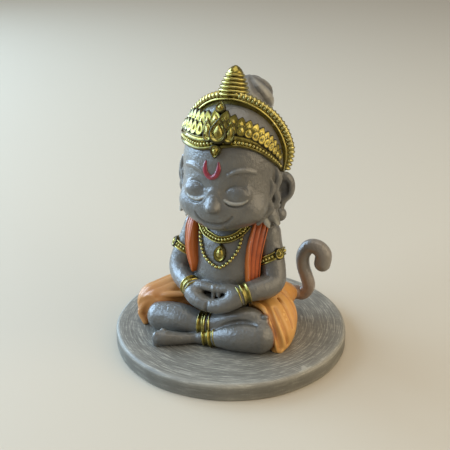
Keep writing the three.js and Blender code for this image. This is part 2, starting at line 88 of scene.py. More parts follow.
class Finish:
    """A material built up from shader nodes. Most methods add a node and give its output."""

    def __init__(self, name):
        self.material = bpy.data.materials.new(name)
        self.material.use_nodes = True
        self.tree = self.material.node_tree
        self.tree.nodes.clear()

    def add(self, kind, output=0, values=None, links=None, **settings):
        """Any shader node."""
        return add_node(self.tree, "ShaderNode" + kind, values, links, **settings).outputs[output]

    def spot(self):
        """The place on the piece."""
        return self.add("TexCoord", "Object")

    def bend(self):
        """How sharply the surface stands proud, over a half, or lies in a crease, under a half."""
        return self.add("NewGeometry", "Pointiness")

    def share(self, tint):
        """How much of a tint has been written to the piece's corners."""
        return self.add("Attribute", "Fac", attribute_name=tint)

    def noise(self, scale, detail=3.0, roughness=0.5, spot=None):
        """Clouds over the piece, or over another spot."""
        return self.add("TexNoise", 0, {"Scale": scale, "Detail": detail, "Roughness": roughness},
                        {"Vector": spot or self.spot()})

    def span(self, value, low, high, first=0.0, last=1.0):
        """A value's way from low to high as a way from first to last."""
        ends = {"From Min": low, "From Max": high, "To Min": first, "To Max": last}
        return self.add("MapRange", 0, ends, {"Value": value})

    def times(self, value, factor):
        """A value multiplied by a number."""
        return self.add("Math", 0, {1: factor}, {0: value}, operation="MULTIPLY")

    def maths(self, operation, value, other):
        """One operation on two values."""
        return self.add("Math", 0, None, {0: value, 1: other}, operation=operation)

    def ramp(self, value, *steps):
        """A colour that follows a value. Each step is a value and a hex colour."""
        node = add_node(self.tree, "ShaderNodeValToRGB", links={"Fac": value})
        elements = node.color_ramp.elements
        while len(elements) < len(steps):
            elements.new(0.5)
        for element, (place, hex_code) in zip(elements, steps):
            element.position = place
            element.color = paint(hex_code)
        return node.outputs["Color"]

    def over(self, colour, share, hex_code):
        """A colour with another laid over a share of it."""
        return self.add("Mix", 2, {7: paint(hex_code)}, {0: share, 6: colour}, data_type="RGBA")

    def bump(self, height, strength, distance):
        """Fine relief."""
        return self.add("Bump", 0, {"Strength": strength, "Distance": distance}, {"Height": height})

    def done(self, values, links=None):
        """The material, with its shader's values and links."""
        shader = self.add("BsdfPrincipled", 0, values, links)
        self.tree.links.new(shader, add_node(self.tree, "ShaderNodeOutputMaterial").inputs[0])
        return self.material


def put(name, data):
    """An object of a mesh, a lamp or a camera, linked to the scene."""
    piece = bpy.data.objects.new(name, data)
    bpy.context.scene.collection.objects.link(piece)
    return piece


def to_mesh(name, places, faces, finish, height=0.0):
    """A smooth piece from its corners, in metres, lifted by a height."""
    mesh = bpy.data.meshes.new(name)
    mesh.from_pydata((np.asarray(places, float) + [0, 0, height]).tolist(), [], faces)
    mesh.materials.append(finish)
    mesh.polygons.foreach_set("use_smooth", [True] * len(mesh.polygons))
    mesh.update()
    return put(name, mesh)


def turned(profile, segments):
    """Corners and faces of a turned shape. Its profile runs from the axis at its foot to its top."""
    angles = np.linspace(0, 2 * np.pi, segments, endpoint=False)
    rings = profile[1:-1]
    places = [(0, 0, profile[0][1]), (0, 0, profile[-1][1])]
    for radius, height in rings:
        places += [(radius * math.cos(a), radius * math.sin(a), height) for a in angles]
    sides = [(i, (i + 1) % segments) for i in range(segments)]
    last = 2 + (len(rings) - 1) * segments
    faces = []
    for low in range(2, last, segments):
        high = low + segments
        faces += [(low + i, low + j, high + j, high + i) for i, j in sides]
    for i, j in sides:
        faces += [(0, 2 + j, 2 + i), (1, last + i, last + j)]
    return np.array(places, float), faces


def sanded_resin():
    """Cast resin rubbed with coarse paper: matt, with curved scratches paler and darker than its grey."""
    look = Finish("sanded_grey_resin")
    spot = look.spot()
    x, y, z = add_node(look.tree, "ShaderNodeSeparateXYZ", links={0: spot}).outputs
    reach = look.add("VectorMath", "Value", None, {0: look.add("CombineXYZ", links={0: x, 1: y})},
                     operation="LENGTH")
    angle = look.maths("ARCTAN2", y, x)
    combed = look.add("CombineXYZ", links={0: look.times(reach, 2600.0), 1: look.times(angle, 5.0),
                                           2: look.times(z, 900.0)})
    straight = look.add("Mapping", 0, {"Rotation": (0, 0, math.radians(24)), "Scale": (120.0, 2100.0, 400.0)},
                        {"Vector": spot})
    scratches = look.add("Mix", 0, {0: 0.2}, {2: look.noise(1.0, 4.0, 0.7, combed),
                                              3: look.noise(1.0, 3.0, 0.65, straight)})
    clouds = look.noise(70.0)
    grey = look.ramp(scratches, (0.41, scratch_dark), (0.48, sanded_grey), (0.52, sanded_grey),
                     (0.61, scratch_pale))
    tint = look.ramp(clouds, (0.35, "#5F5C54"), (0.65, "#6F6C62"))
    grey = look.add("Mix", 2, {0: 0.25}, {6: grey, 7: tint}, data_type="RGBA")
    facing_up = look.add("SeparateXYZ", 2, links={0: look.add("TexCoord", "Normal")})
    # Painted shade: the side wall, facing away from the light, is painted darker than the top.
    grey = look.over(grey, look.span(facing_up, 0.5, 0.0, 0.0, 0.7), side_shade_grey)
    # Pale on the proud edges of the rim, as rubbed wear and as painted highlight.
    wear_and_painted_light = look.maths("MULTIPLY", look.span(look.bend(), 0.492, 0.53), clouds)
    return look.done({"Roughness": 0.52, "IOR": 1.5, "Specular IOR Level": 0.4},
                     {"Base Color": look.over(grey, wear_and_painted_light, pale_rim_wear_and_highlight),
                      "Normal": look.bump(scratches, 0.5, 0.00016)})


def rounded_corner(centre, radius, start, end, steps=7):
    """Points of an arc in a turned profile, its angles in degrees."""
    angles = np.radians(np.linspace(start, end, steps))
    return [(centre[0] + radius * math.cos(a), centre[1] + radius * math.sin(a)) for a in angles]


disc_profile = (
    [(0, 0)] + [(base_radius * share, 0) for share in (0.25, 0.5, 0.75, 0.95)]
    + rounded_corner((base_radius - foot_rounding, foot_rounding), foot_rounding, -90, 0)
    + [(base_radius, base_top * share) for share in (0.25, 0.4, 0.55, 0.7)]
    + rounded_corner((base_radius - rim_rounding, base_top - rim_rounding), rim_rounding, 0, 90, 9)
    + [(base_radius * share, base_top) for share in (0.92, 0.85, 0.7, 0.5, 0.25)] + [(0, base_top)]
)
disc_places, disc_faces = turned(disc_profile, disc_segments)
disc_angle = np.arctan2(disc_places[:, 1], disc_places[:, 0])
disc_edge = np.hypot(disc_places[:, 0], disc_places[:, 1]) / base_radius
wobble = hand_wobble * disc_edge ** 8 * (
    0.5 * np.sin(3 * disc_angle + 0.6) + 0.35 * np.sin(7 * disc_angle + 2) + 0.3 * np.sin(13 * disc_angle)
    - 0.8)
disc_places[:, 0] += wobble * np.cos(disc_angle)
disc_places[:, 1] += wobble * np.sin(disc_angle)
disc = to_mesh("round_base_disc", disc_places, disc_faces, sanded_resin(), base_low.z)
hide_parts("round_base")
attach(disc, "root")

# Legs and feet
# The crossed legs of the casting: bare grey resin under a thick gloss varnish. The right shin lies in front,
# its foot goes up under the loin cloth, and the left foot comes out below it.
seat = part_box("seated_figure")[0].z
drawn_height = 89.2
mm = (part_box("seated_figure")[1].z - seat) / drawn_height
skin_grey = "#5B5851"
crease_shade_grey = "#3D3A34"
shade_black = "#2A2723"
pale_wear_and_light = "#98958A"
wash_brown = "#A0622A"


def dot(ones, others):
    """The sum of the products of two rows."""
    return sum(one * other for one, other in zip(ones, others))


def egg_depth(unit, radii):
    """The distance to an egg, true close to its surface, from places as shares of its radii."""
    near = np.sqrt(dot(unit, unit))
    slope = np.sqrt(sum((u / r) ** 2 for u, r in zip(unit, radii)))
    return near * (near - 1) / np.maximum(slope, 1e-6)


class Clay:
    """A block of modelling clay: on a fine grid, the distance to its surface, below zero inside it.
    Its places are in drawn millimetres, measured from the middle of the seat."""

    far = 9.0

    def __init__(self, low, high, grain):
        self.grain = grain
        self.low = np.array(low, float)
        counts = np.ceil((np.array(high, float) - self.low) / grain).astype(int) + 1
        self.lines = [(start + grain * np.arange(n)).astype(np.float32) for start, n in zip(self.low, counts)]
        self.depth = np.full(counts, self.far, np.float32)

    def window(self, low, high):
        """The part of the grid between two corners, and the places in it."""
        spans = tuple(slice(*np.searchsorted(line, ends)) for line, *ends in zip(self.lines, low, high))
        places = (line[span] for line, span in zip(self.lines, spans))
        return spans, np.meshgrid(*places, indexing="ij", sparse=True)

    def merge(self, spans, shape, blend, press):
        """Melts a shape into the clay, or presses it out of the clay, with a fillet as wide as blend."""
        old = self.depth[spans]
        if press:
            old = -old
        share = np.clip(0.5 + 0.5 * (old - shape) / blend, 0, 1)
        new = old + (shape - old) * share - blend * share * (1 - share)
        self.depth[spans] = -new if press else new

    def egg(self, centre, radii, turn=0, blend=0.6, press=False, relief=None):
        """Adds or presses an egg, turned by so many degrees about the vertical. Relief stands out along each
        direction from its centre."""
        radii = np.array(radii, float)
        reach = (np.full(3, radii.max()) if turn else radii) + blend + 3 * self.grain
        spans, places = self.window(centre - reach, centre + reach)
        x, y, z = (place - c for place, c in zip(places, centre))
        if turn:
            cos, sin = math.cos(math.radians(turn)), math.sin(math.radians(turn))
            x, y = cos * x + sin * y, cos * y - sin * x
        unit = [off / radius for off, radius in zip((x, y, z), radii)]
        shape = egg_depth(unit, radii)
        if relief:
            shape = shape - relief(*unit)
        self.merge(spans, shape.astype(np.float32), blend, press)

    def roll(self, points, sizes, up=(0, 0, 1), blend=0.6, press=False, relief=None):
        """Adds or presses a round-ended roll along a smooth line. Its sizes are half its width and half its
        height at each point, or one number where they are the same. Relief stands out by the share of the
        way and the angle round it."""
        sizes = np.array(sizes, float)
        sizes = np.stack([sizes, sizes], -1) if sizes.ndim < 2 else sizes
        rows = smooth_rows(np.hstack([points, np.broadcast_to(sizes, (len(points), 2))]), 1.0)
        line, girth = rows[:, :3], rows[:, 3:]
        ahead, aside, above = frames_along(line, up)
        reach = girth.max() + blend + 3 * self.grain
        spans, _ = self.window(line.min(0) - reach, line.max(0) + reach)
        shape = np.full([span.stop - span.start for span in spans], self.far, np.float32)
        for i, (start, end) in enumerate(zip(line, line[1:])):
            run = end - start
            here, places = self.window(np.minimum(start, end) - reach, np.maximum(start, end) + reach)
            part = tuple(slice(h.start - s.start, h.stop - s.start) for h, s in zip(here, spans))
            off = [place - s for place, s in zip(places, start)]
            share = np.clip(dot(off, run) / (run @ run), 0, 1)
            off = [o - share * r for o, r in zip(off, run)]
            wide, high = (girth[i, k] + share * (girth[i + 1, k] - girth[i, k]) for k in (0, 1))
            sideways, upward = (
                dot(off, [a + share * (b - a) for a, b in zip(way[i], way[i + 1])]) / half
                for way, half in ((aside, wide), (above, high)))
            small = np.minimum(wide, high)
            depth = egg_depth((sideways, upward, dot(off, ahead[i]) / small), (wide, high, small))
            if relief:
                depth = depth - relief((i + share) / (len(line) - 1), np.arctan2(upward, sideways))
            shape[part] = np.minimum(shape[part], depth)
        self.merge(spans, shape, blend, press)

    def slice_off(self, point, outward, blend=0.3):
        """Cuts away everything beyond a flat plane."""
        outward = np.array(outward, float) / np.linalg.norm(outward)
        spans, places = self.window(self.low - self.grain, self.low + self.grain * np.array(self.depth.shape))
        beyond = sum((place - p) * o for place, p, o in zip(places, point, outward))
        self.merge(spans, (-beyond).astype(np.float32), blend, True)

    def at(self, places):
        """The distance to the surface at any places, between the points of the grid."""
        spot = (np.asarray(places, float) - self.low) / self.grain
        top = np.array(self.depth.shape) - 2
        cell = np.clip(np.floor(spot).astype(int), 0, top)
        share = np.clip(spot - cell, 0, 1)
        total = np.zeros(len(spot))
        for corner in np.ndindex(2, 2, 2):
            weight = np.prod(np.where(corner, share, 1 - share), axis=1)
            total += weight * self.depth[tuple((cell + corner).T)]
        outside = np.any((spot < -1) | (spot > top + 2), axis=1)
        return np.where(outside, self.far, total)

    def slope(self, places):
        """The direction in which the distance grows, at any places."""
        step = 0.7 * self.grain
        rises = [self.at(places + shift) - self.at(places - shift) for shift in step * np.eye(3)]
        return np.stack(rises, axis=1) / (2 * step)

    def touch(self, start, way):
        """The first point of the surface from a start outside the clay, going one way."""
        start, way = np.array(start, float), np.array(way, float) / np.linalg.norm(way)
        for _ in range(200):
            gap = float(self.at(start[None])[0])
            if gap < 0.01:
                break
            start = start + way * min(0.8 * gap, 0.3)
        return start

    def skin(self):
        """Corners and faces of the surface: one corner in each cell it crosses, joined across the edges."""
        inside = self.depth < 0
        cells = np.array(inside.shape) - 1
        rings, crossings = [], []
        for axis in range(3):
            ahead, u, v = np.roll(np.eye(3, dtype=int), axis, 1)
            low = inside[tuple(slice(0, n - a) for n, a in zip(inside.shape, ahead))]
            edges = np.argwhere(low != inside[tuple(slice(a, None) for a in ahead)])
            edges = edges[np.all((edges + ahead > 0) & (edges < cells), axis=1)]
            start, end = self.depth[tuple(edges.T)], self.depth[tuple((edges + ahead).T)]
            crossings.append(np.repeat(edges + (start / (start - end))[:, None] * ahead, 4, axis=0))
            ring = [np.ravel_multi_index((edges - back).T, cells) for back in (u + v, v, 0 * u, u)]
            rings.append(np.where(start < 0, ring, ring[::-1]).T)
        _, number = np.unique(np.vstack(rings), return_inverse=True)
        number = number.ravel()
        totals = [np.bincount(number, column) for column in np.vstack(crossings).T]
        places = np.stack(totals, axis=1) / np.bincount(number)[:, None]
        return self.low + self.grain * places, number.reshape(-1, 4)

    def cast(self, name, finish):
        """The finished surface as a piece: its corners are evened out and drawn onto the true surface."""
        if self.low[2] < 0:
            self.slice_off((0, 0, 0), (0, 0, -1), 0.05)
        places, faces = self.skin()
        links = np.vstack([faces[:, [i, (i + 1) % 4]] for i in range(4)])
        counts = np.bincount(links[:, 0], minlength=len(places))[:, None]
        for _ in range(3):
            sums = [np.bincount(links[:, 0], places[links[:, 1], k], len(places)) for k in range(3)]
            places = places + 0.6 * (np.stack(sums, axis=1) / counts - places)
            slope = self.slope(places)
            steep = np.maximum((slope ** 2).sum(1), 0.2)
            places = places - slope * (self.at(places) / steep)[:, None]
        places[:, 2] = np.maximum(places[:, 2], 0)
        return drawn(name, (places, faces.tolist()), finish)


def drawn(name, shape, finish):
    """A piece of a shape in drawn millimetres from the middle of the seat."""
    places, faces = shape
    return to_mesh(name, places * mm, faces, finish, seat)


def smooth_rows(rows, step):
    """Rows of numbers along a smooth line through the given ones, about a step apart in their first three."""
    rows = np.array(rows, float)
    padded = np.vstack([2 * rows[0] - rows[1], rows, 2 * rows[-1] - rows[-2]])
    stretches = []
    for p0, p1, p2, p3 in zip(padded, padded[1:], padded[2:], padded[3:]):
        count = max(int(np.ceil(np.linalg.norm((p2 - p1)[:3]) / step)), 1)
        t = np.linspace(0, 1, count, endpoint=False)[:, None]
        stretches.append(p1 + 0.5 * t * (p2 - p0 + t * (2 * p0 - 5 * p1 + 4 * p2 - p3
                                                        + t * (3 * (p1 - p2) + p3 - p0))))
    return np.vstack(stretches + [rows[-1:]])


def frames_along(line, up):
    """The ways ahead, aside and above at each point of a line."""
    ahead = np.gradient(line, axis=0)
    ahead /= np.linalg.norm(ahead, axis=1)[:, None]
    aside = np.cross(ahead, np.array(up, float))
    aside /= np.linalg.norm(aside, axis=1)[:, None]
    return ahead, aside, np.cross(aside, ahead)


def varnished_resin():
    """Cast grey resin under thick gloss varnish: wet-looking, with brown wash where it meets the painted
    cloth, painted shade in its creases and hollows, and pale wear and painted light on some ridges.
    """
    look = Finish("varnished_grey_resin")
    grey = look.ramp(look.noise(160.0, 3.0, 0.6), (0.3, "#524F49"), (0.5, skin_grey), (0.72, "#646159"))
    # Painted shade: darker grey in the creases.
    grey = look.over(grey, look.span(look.bend(), 0.5, 0.44), crease_shade_grey)
    grey = look.over(grey, look.times(look.share("tint_near"), 0.75), wash_brown)
    grey = look.over(grey, look.share("shade"), shade_black)
    # Pale where it is written: rubbed wear on ridges, together with painted highlight and painted light.
    grey = look.over(grey, look.share("wear_and_painted_light"), pale_wear_and_light)
    wavy = look.bump(look.noise(620.0, 3.0, 0.65), 0.6, 0.0005)
    return look.done({"Roughness": 0.45, "IOR": 1.5, "Coat Weight": 0.8, "Coat Roughness": 0.1,
                      "Coat IOR": 1.5, "Subsurface Weight": 0.12, "Subsurface Radius": (1.0, 0.9, 0.75),
                      "Subsurface Scale": 0.0012},
                     {"Base Color": grey, "Normal": wavy, "Coat Normal": wavy})


def places_of(piece):
    """The corners of a finished piece, in drawn millimetres from the middle of the seat."""
    places = np.array([v.co for v in piece.data.vertices])
    places[:, 2] -= seat
    return places / mm


def tint(piece, kind, share):
    """Writes how much of a tint each corner of a piece takes, where it isn't already tinted more."""
    named = piece.data.attributes.get(kind) or piece.data.attributes.new(kind, "FLOAT", "POINT")
    old = np.zeros(len(share), np.float32)
    named.data.foreach_get("value", old)
    named.data.foreach_set("value", np.maximum(old, share).astype(np.float32))


def tint_near(piece, clay, reach, kind="tint_near", most=1.0):
    """Tints a piece where it comes within reach of a shape, in the tint its kind names: by default brown wash
    and painted shade.
    """
    tint(piece, kind, most * np.clip(1 - clay.at(places_of(piece)) / reach, 0, 1) ** 1.5)


resin_varnish = varnished_resin()
right_shin = [[-20, -13.7, 5], [-15, -14, 5.6], [-11.1, -14.4, 5.9], [-6.5, -14.8, 5.8], [-3.2, -14.9, 5.9],
              [-0.2, -14.9, 6.4]]
right_shin_sizes = [[5, 5.1], [5.1, 5.15], [4.8, 4.85], [3.9, 3.9], [3.5, 3.6], [3.1, 3.2]]
right_foot = [[-2, -14.9, 6.2], [2.4, -14.8, 7.9], [5.8, -14.5, 9.9], [8.6, -14, 11.1], [12.6, -13.2, 11],
              [15.8, -12.6, 9.8]]
right_foot_sizes = [[3.3, 3.3], [3.2, 3.3], [3.1, 3.1], [3.3, 2.9], [3.3, 2.7], [2.8, 2.2]]
left_shin = [[15.1, -14.4, 5.3], [9, -16.9, 4.9], [3.5, -17.4, 3.9], [-0.6, -17.6, 3], [-3.6, -18.3, 2.5]]
left_shin_sizes = [[6.3, 6.1], [5, 5], [3.9, 3.8], [2.4, 2.5], [1.9, 2]]
left_foot = [[-3, -18.2, 2.5], [-5.6, -18.8, 2.2], [-7.7, -19.9, 2.2], [-10.1, -21.1, 2.3],
             [-12.5, -22.2, 2.5], [-14.6, -23, 2.7], [-16.2, -23.9, 2.7]]
left_foot_sizes = [[1.8, 1.9], [1.7, 1.8], [1.8, 1.9], [2, 2.1], [2.3, 2.3], [2.6, 2.5], [2.2, 2.3]]

legs_clay = Clay((-28, -28, -1.2), (24, -4, 14.5), 0.26)
legs_clay.roll(left_shin, left_shin_sizes)
legs_clay.roll(left_foot, left_foot_sizes, blend=1.0)
for place, size in (((-17.1, -24.6, 2.8), (1.5, 1.3, 2.3)), ((-17, -25, 0.9), (1.1, 0.9, 0.9)),
                    ((-16.4, -23.4, 4.3), (1.1, 0.8, 0.9)), ((-15.6, -22.4, 4.8), (1, 0.8, 0.8))):
    legs_clay.egg(place, size, blend=0.4)
legs_clay.roll(right_shin, right_shin_sizes, blend=0.3)
legs_clay.roll(right_foot, right_foot_sizes, blend=1.2)
crease_starts = [[1.6, -27, 10.4], [3.7, -27, 12], [6.8, -27, 13.6], [10, -26.6, 14.6], [13, -26.1, 14.6],
                 [15.2, -25.4, 13.8]]
foot_crease = [legs_clay.touch(start, (0, 0.92, -0.4)) for start in crease_starts]
legs_clay.roll(foot_crease, [0.3, 0.5, 0.7, 0.8, 0.7, 0.4], blend=0.6, press=True)
for toe in range(5):
    legs_clay.egg((16.9 + 0.3 * toe, -13.6 - 0.2 * toe, 12 - 1.15 * toe), (1.3, 1.1, 0.75), blend=0.4)
legs = legs_clay.cast("legs_and_feet", resin_varnish)
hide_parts("seated_figure")
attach(legs, "root")

# Trunk, arms and hands
# Bare grey resin as well. The arms come down close to the round belly, and the hands close in a ring in
# the lap, thumbs above and fingers below, with a small hollow between them.
arms = [
    [[-12.6, 0.8, 34.2], [-13.6, 0.2, 31.2], [-14.9, -0.6, 27.8], [-16.6, -1.7, 23.4], [-17, -3, 19.9],
     [-15.4, -5.6, 17.9], [-12.6, -9, 17.4], [-9.2, -12.4, 17.3], [-7, -14.6, 16.8]],
    [[12.6, 0.8, 35.2], [13.4, 0.2, 32], [14.6, -1, 28.2], [15.8, -2.4, 23.8], [16.2, -4, 20.6],
     [14.8, -7, 19.3], [12, -10.4, 19.2], [8.8, -13.2, 18.4], [6.6, -14.8, 17.6]],
]
arm_sizes = [[4.4, 4.4], [4.3, 4.3], [4.2, 4.2], [4.2, 4.2], [4.3, 4.3], [4.1, 4], [3.6, 3.5], [3, 2.9],
             [2.9, 2.9]]
hands = [
    [[-9.2, -12.6, 17.2], [-7.8, -14.8, 16.4], [-5.2, -16.6, 15.6], [-1.6, -17.4, 14.8], [1, -17.4, 14.8]],
    [[8.8, -13.2, 18.4], [7.4, -15.2, 17.4], [4.8, -17, 16], [1.6, -17.8, 15], [-0.6, -17.6, 15]],
]
thumbs = [
    [[-8.6, -12.6, 18.4], [-5, -13.8, 19.6], [-0.6, -14.4, 19.6]],
    [[8.2, -13.2, 19.4], [4.6, -14, 20], [0.4, -14.4, 19.6]],
]
curled_fingers = [[[-0.2, -15, 20.2], [-0.3, -15.4, 17.2]], [[1.5, -15, 20.2], [1.5, -15.4, 17.8]]]

body_clay = Clay((-23, -21, 8), (22, 14, 42), 0.28)
body_clay.roll([[0, 0.5, 11], [0, -1.6, 18.5], [0, -1.2, 25], [0, -0.2, 30.5], [0, 0.8, 35], [0, 0, 38.5]],
               [[11.5, 10], [12, 10.9], [12, 10.2], [13, 9.2], [14.6, 6.8], [8, 6]], up=(0, 1, 0))
trunk_clay = copy.deepcopy(body_clay)
for arm in arms:
    body_clay.roll(arm, arm_sizes, up=(1, 0, 0), blend=0.7)
body_clay.roll([[-7, -13.4, 15.6], [0, -13.6, 14.6], [7, -13.4, 16]], [[2.6, 2]], blend=0.5)
for hand, thumb in zip(hands, thumbs):
    body_clay.roll(hand, [[2.9, 2.9], [2.9, 3], [2.7, 2.7], [2.4, 2.4], [2, 2]], blend=0.9)
    body_clay.roll(thumb, [[2.2, 1.9], [1.9, 1.6], [1.6, 1.4]], blend=0.9)
for finger in curled_fingers:
    body_clay.roll(finger, 0.75, up=(0, 1, 0), blend=0.4)
body_clay.roll([[-0.8, -19.4, 17.4], [-1.2, -20, 15], [-1.2, -19.4, 13]], [[0.4, 0.6]], up=(0, 1, 0),
               blend=0.5, press=True)
body = body_clay.cast("trunk_arms_and_hands", resin_varnish)
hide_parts("seated_figure")
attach(body, "root")

# Loin cloth
# Cloth carved into the same casting and painted ochre with a satin acrylic. It wraps the hips and thighs,
# runs in long folds to the knees and ends there in a rolled hem, with brown wash and painted shade in the
# folds, painted highlight on the ridges and painted shade over the figure's right thigh.
ochre = "#CC9044"
ochre_light = "#DDAA60"
ochre_dark = "#B4793A"
fold_brown = "#92501C"
cloth_box = (-34, -21, -1.2), (29, 18, 20)


def painted_cloth(name, colours, wash_and_shade, patch_size):
    """Satin acrylic brushed on resin: a little streaky, with painted highlight on the ridges and brown wash
    and painted shade in the folds.
    """
    look = Finish(name)
    dark, plain, light = colours
    colour = look.ramp(look.noise(1 / patch_size, 4.0, 0.65), (0.3, dark), (0.48, plain), (0.7, light))
    # Painted highlight: the light colour laid on the ridges.
    colour = look.over(colour, look.span(look.bend(), 0.505, 0.56), light)
    # Brown wash and painted shade: the wash colour in the creases and wherever the tint near other shapes is
    # written.
    fold_wash_and_shade = look.maths("MAXIMUM", look.span(look.bend(), 0.497, 0.45), look.share("tint_near"))
    return look.done({"Roughness": 0.5, "IOR": 1.48, "Coat Weight": 0.3, "Coat Roughness": 0.22},
                     {"Base Color": look.over(colour, fold_wash_and_shade, wash_and_shade),
                      "Normal": look.bump(look.noise(900.0), 0.25, 0.0001)})


def long_pleats(way, angle):
    """Relief of long pleats round a roll: round ridges with sharp valleys, dying out at both ends."""
    return 0.4 * (np.abs(np.cos(6 * angle)) - 0.6) * np.sqrt(np.clip(4 * way * (1.15 - way), 0, 1))


cloth_clay = Clay(*cloth_box, 0.3)
cloth_clay.roll([[8, 4, 7.5], [14, -1, 6.6], [15.2, -7, 4.6], [13.9, -11.5, 3.2]],
                [[8.6, 8.2], [9.4, 8.4], [10.1, 9.4], [10.3, 9.8]], blend=2)
cloth_clay.roll([[12, 7, 8.5], [15.8, 9.2, 8.6], [17.4, 10.8, 8.6]], [[6.4, 6], [4.8, 4.6], [3.2, 3.2]],
                blend=2)
cloth_clay.slice_off((19.7, -14.4, 8.9), (-0.58, -0.815, 0))
cloth_clay.slice_off((21, -15, 3), (0.1, -1, 0))
cloth_clay.egg((0, 5, 7.5), (18.4, 10.6, 11), blend=1.5)
cloth_clay.roll([[-8, 4, 7.4], [-17, -1, 7.8], [-24.4, -7.4, 6.2]], [[8.5, 8], [8.2, 7.6], [7.6, 7]], blend=2,
                relief=long_pleats)
cloth_clay.slice_off((-20, -13.2, 6), (-0.12, -1, 0))
right_hem = [[-13.6, -9.2, 12.4], [-20.6, -10.4, 11], [-26.2, -11, 8], [-28.6, -11.8, 4], [-26.6, -13, 0.8]]
left_hem = [[10.4, -8.4, 13], [13, -9.8, 13.6], [15.8, -11.2, 13.3], [18, -12.8, 11.5], [19.7, -14.3, 8.9],
            [20.9, -15.1, 6], [21.9, -15.2, 3.2], [22.4, -14.9, 1.2]]
cloth_clay.roll(right_hem, [[1.1, 1], [1.4, 1.3], [1.5, 1.4], [1.4, 1.3], [1.2, 1]])
cloth_clay.roll(left_hem, 1, blend=0.5)
# fold_clay lays brown wash and painted shade along the pressed folds.
fold_clay = Clay(*cloth_box, 0.3)
for girth, wash_and_shade, fold in (
        (0.6, 0.35, [[13.5, -7.2, 14.1], [16.2, -9.4, 13.7], [19.6, -13.1, 11.3], [22.2, -15, 7.2],
                     [23.3, -14.8, 2.1]]),
        (0.5, 0.2, [[18.7, -8.9, 13.2], [21.9, -11.7, 10.3], [23.9, -12.5, 6.4], [24.4, -11.6, 2.3]]),
        (0.4, 0.1, [[17.5, -3.1, 13.4], [20.4, -5, 12.9], [23.1, -7.1, 10.3], [24.9, -8, 6.8]]),
        (0.5, 0.1, [[15.6, 2, 14.1], [20.3, 0.6, 12.4], [23.8, -1.4, 9.3], [25.1, -2.5, 5]]),
        (0.4, 0.4, [[10.4, -7, 13.5], [13.8, -8.8, 13.9], [16.9, -10.8, 12.9], [19.2, -12.9, 10.7],
                    [21.2, -14.5, 7.5], [22.4, -15.3, 3.6], [22.6, -15.3, 1]])):
    cloth_clay.roll(fold, [0.3] + [girth] * (len(fold) - 1), blend=1.2, press=True)
    fold_clay.roll(fold, [0.05] + [wash_and_shade] * (len(fold) - 2) + [0.05])
# Painted shade: the figure's right thigh is darkened with the wash colour, as it lies in shade.
shaded_thigh = Clay(*cloth_box, 0.6)
shaded_thigh.roll([[-10, -3, 8], [-24, -8, 7]], 8)
cloth = cloth_clay.cast("loin_cloth", painted_cloth("ochre_satin_paint", (ochre_dark, ochre, ochre_light),
                                                    fold_brown, 0.02))
tint_near(cloth, fold_clay, 0.9, most=0.6)
tint_near(cloth, legs_clay, 0.7)
tint_near(cloth, body_clay, 1.5)
tint_near(cloth, shaded_thigh, 7.0, most=0.55)
tint_near(legs, cloth_clay, 0.8)
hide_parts("seated_figure")
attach(cloth, "root")

# Tail
# A tail of bare grey resin, part of the one casting and varnished like the legs. It rises behind the left
# hip and curls over at its end like a crook.
tail_points = [[13, 9, 8.6], [19.1, 13.4, 8], [22, 14, 8], [23.8, 14, 11.2], [22.9, 14, 14.6],
               [21.6, 14, 18.4], [21.4, 14, 22.6], [23.3, 14, 26], [26.3, 14, 26.3], [28.5, 14, 24],
               [28.3, 14, 20.6]]
tail_radii = [3, 2.6, 2.4, 2.3, 2.3, 2.3, 2.4, 2.5, 2.7, 2.9, 2.9]
tail_clay = Clay((10, 5, 3), (33, 18, 31), 0.25)
tail_clay.roll(tail_points, tail_radii, up=(0, 1, 0))
tail = tail_clay.cast("tail", resin_varnish)
tint_near(tail, cloth_clay, 12.0)
# Painted light: the whole tail is painted a little paler, as if it were better lit.
tint_near(tail, tail_clay, 9.0, "wear_and_painted_light", 0.3)
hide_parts("seated_figure")
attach(tail, "root")

# Head
# A large round head with a soft muzzle, closed eyes and a small smile, locks of fur down to the jaw and
# round ears with drops, all bare grey resin. The face is a plain calm one.
skull_centre = np.array([0.5, 1.5, 58.7])
skull = np.array([16.4, 17.2, 20.4])
mid = skull_centre[0]
head_clay = Clay((-23, -21, 33), (23, 27, 84), 0.28)
head_clay.egg(skull_centre, skull)
head_clay.egg((mid, -5, 48.8), (13.9, 12.8, 10), blend=5)
head_clay.egg((mid, -11.4, 45.6), (8.8, 6, 4.9), blend=4)
for side in (-1, 1):
    head_clay.egg((mid + side * 9, -9.5, 47.4), (5.2, 5, 4.4), blend=3)
    head_clay.egg((mid + side * 6.9, -18.6, 54.6), (4.8, 2.6, 3.4), blend=2.5, press=True)
    head_clay.egg((mid + side * 6.9, -13.2, 53.4), (4, 2.7, 2.8), blend=1.2)
head_clay.egg((mid, -18.2, 49.4), (2.3, 1.9, 1.5), blend=1)
head_clay.roll([[mid, -16.4, 53.6], [mid, -17.2, 51]], [[1.1, 0.8], [1.3, 1]], up=(0, -1, 0), blend=2)


def on_face(side, spots, sink):
    """Places on the head that are seen from the front at the given sideways and upward places."""
    found = [head_clay.touch((mid + side * x, -30, z), (0, 1, 0)) for x, z in spots]
    return [[x, y + sink, z] for x, y, z in found]


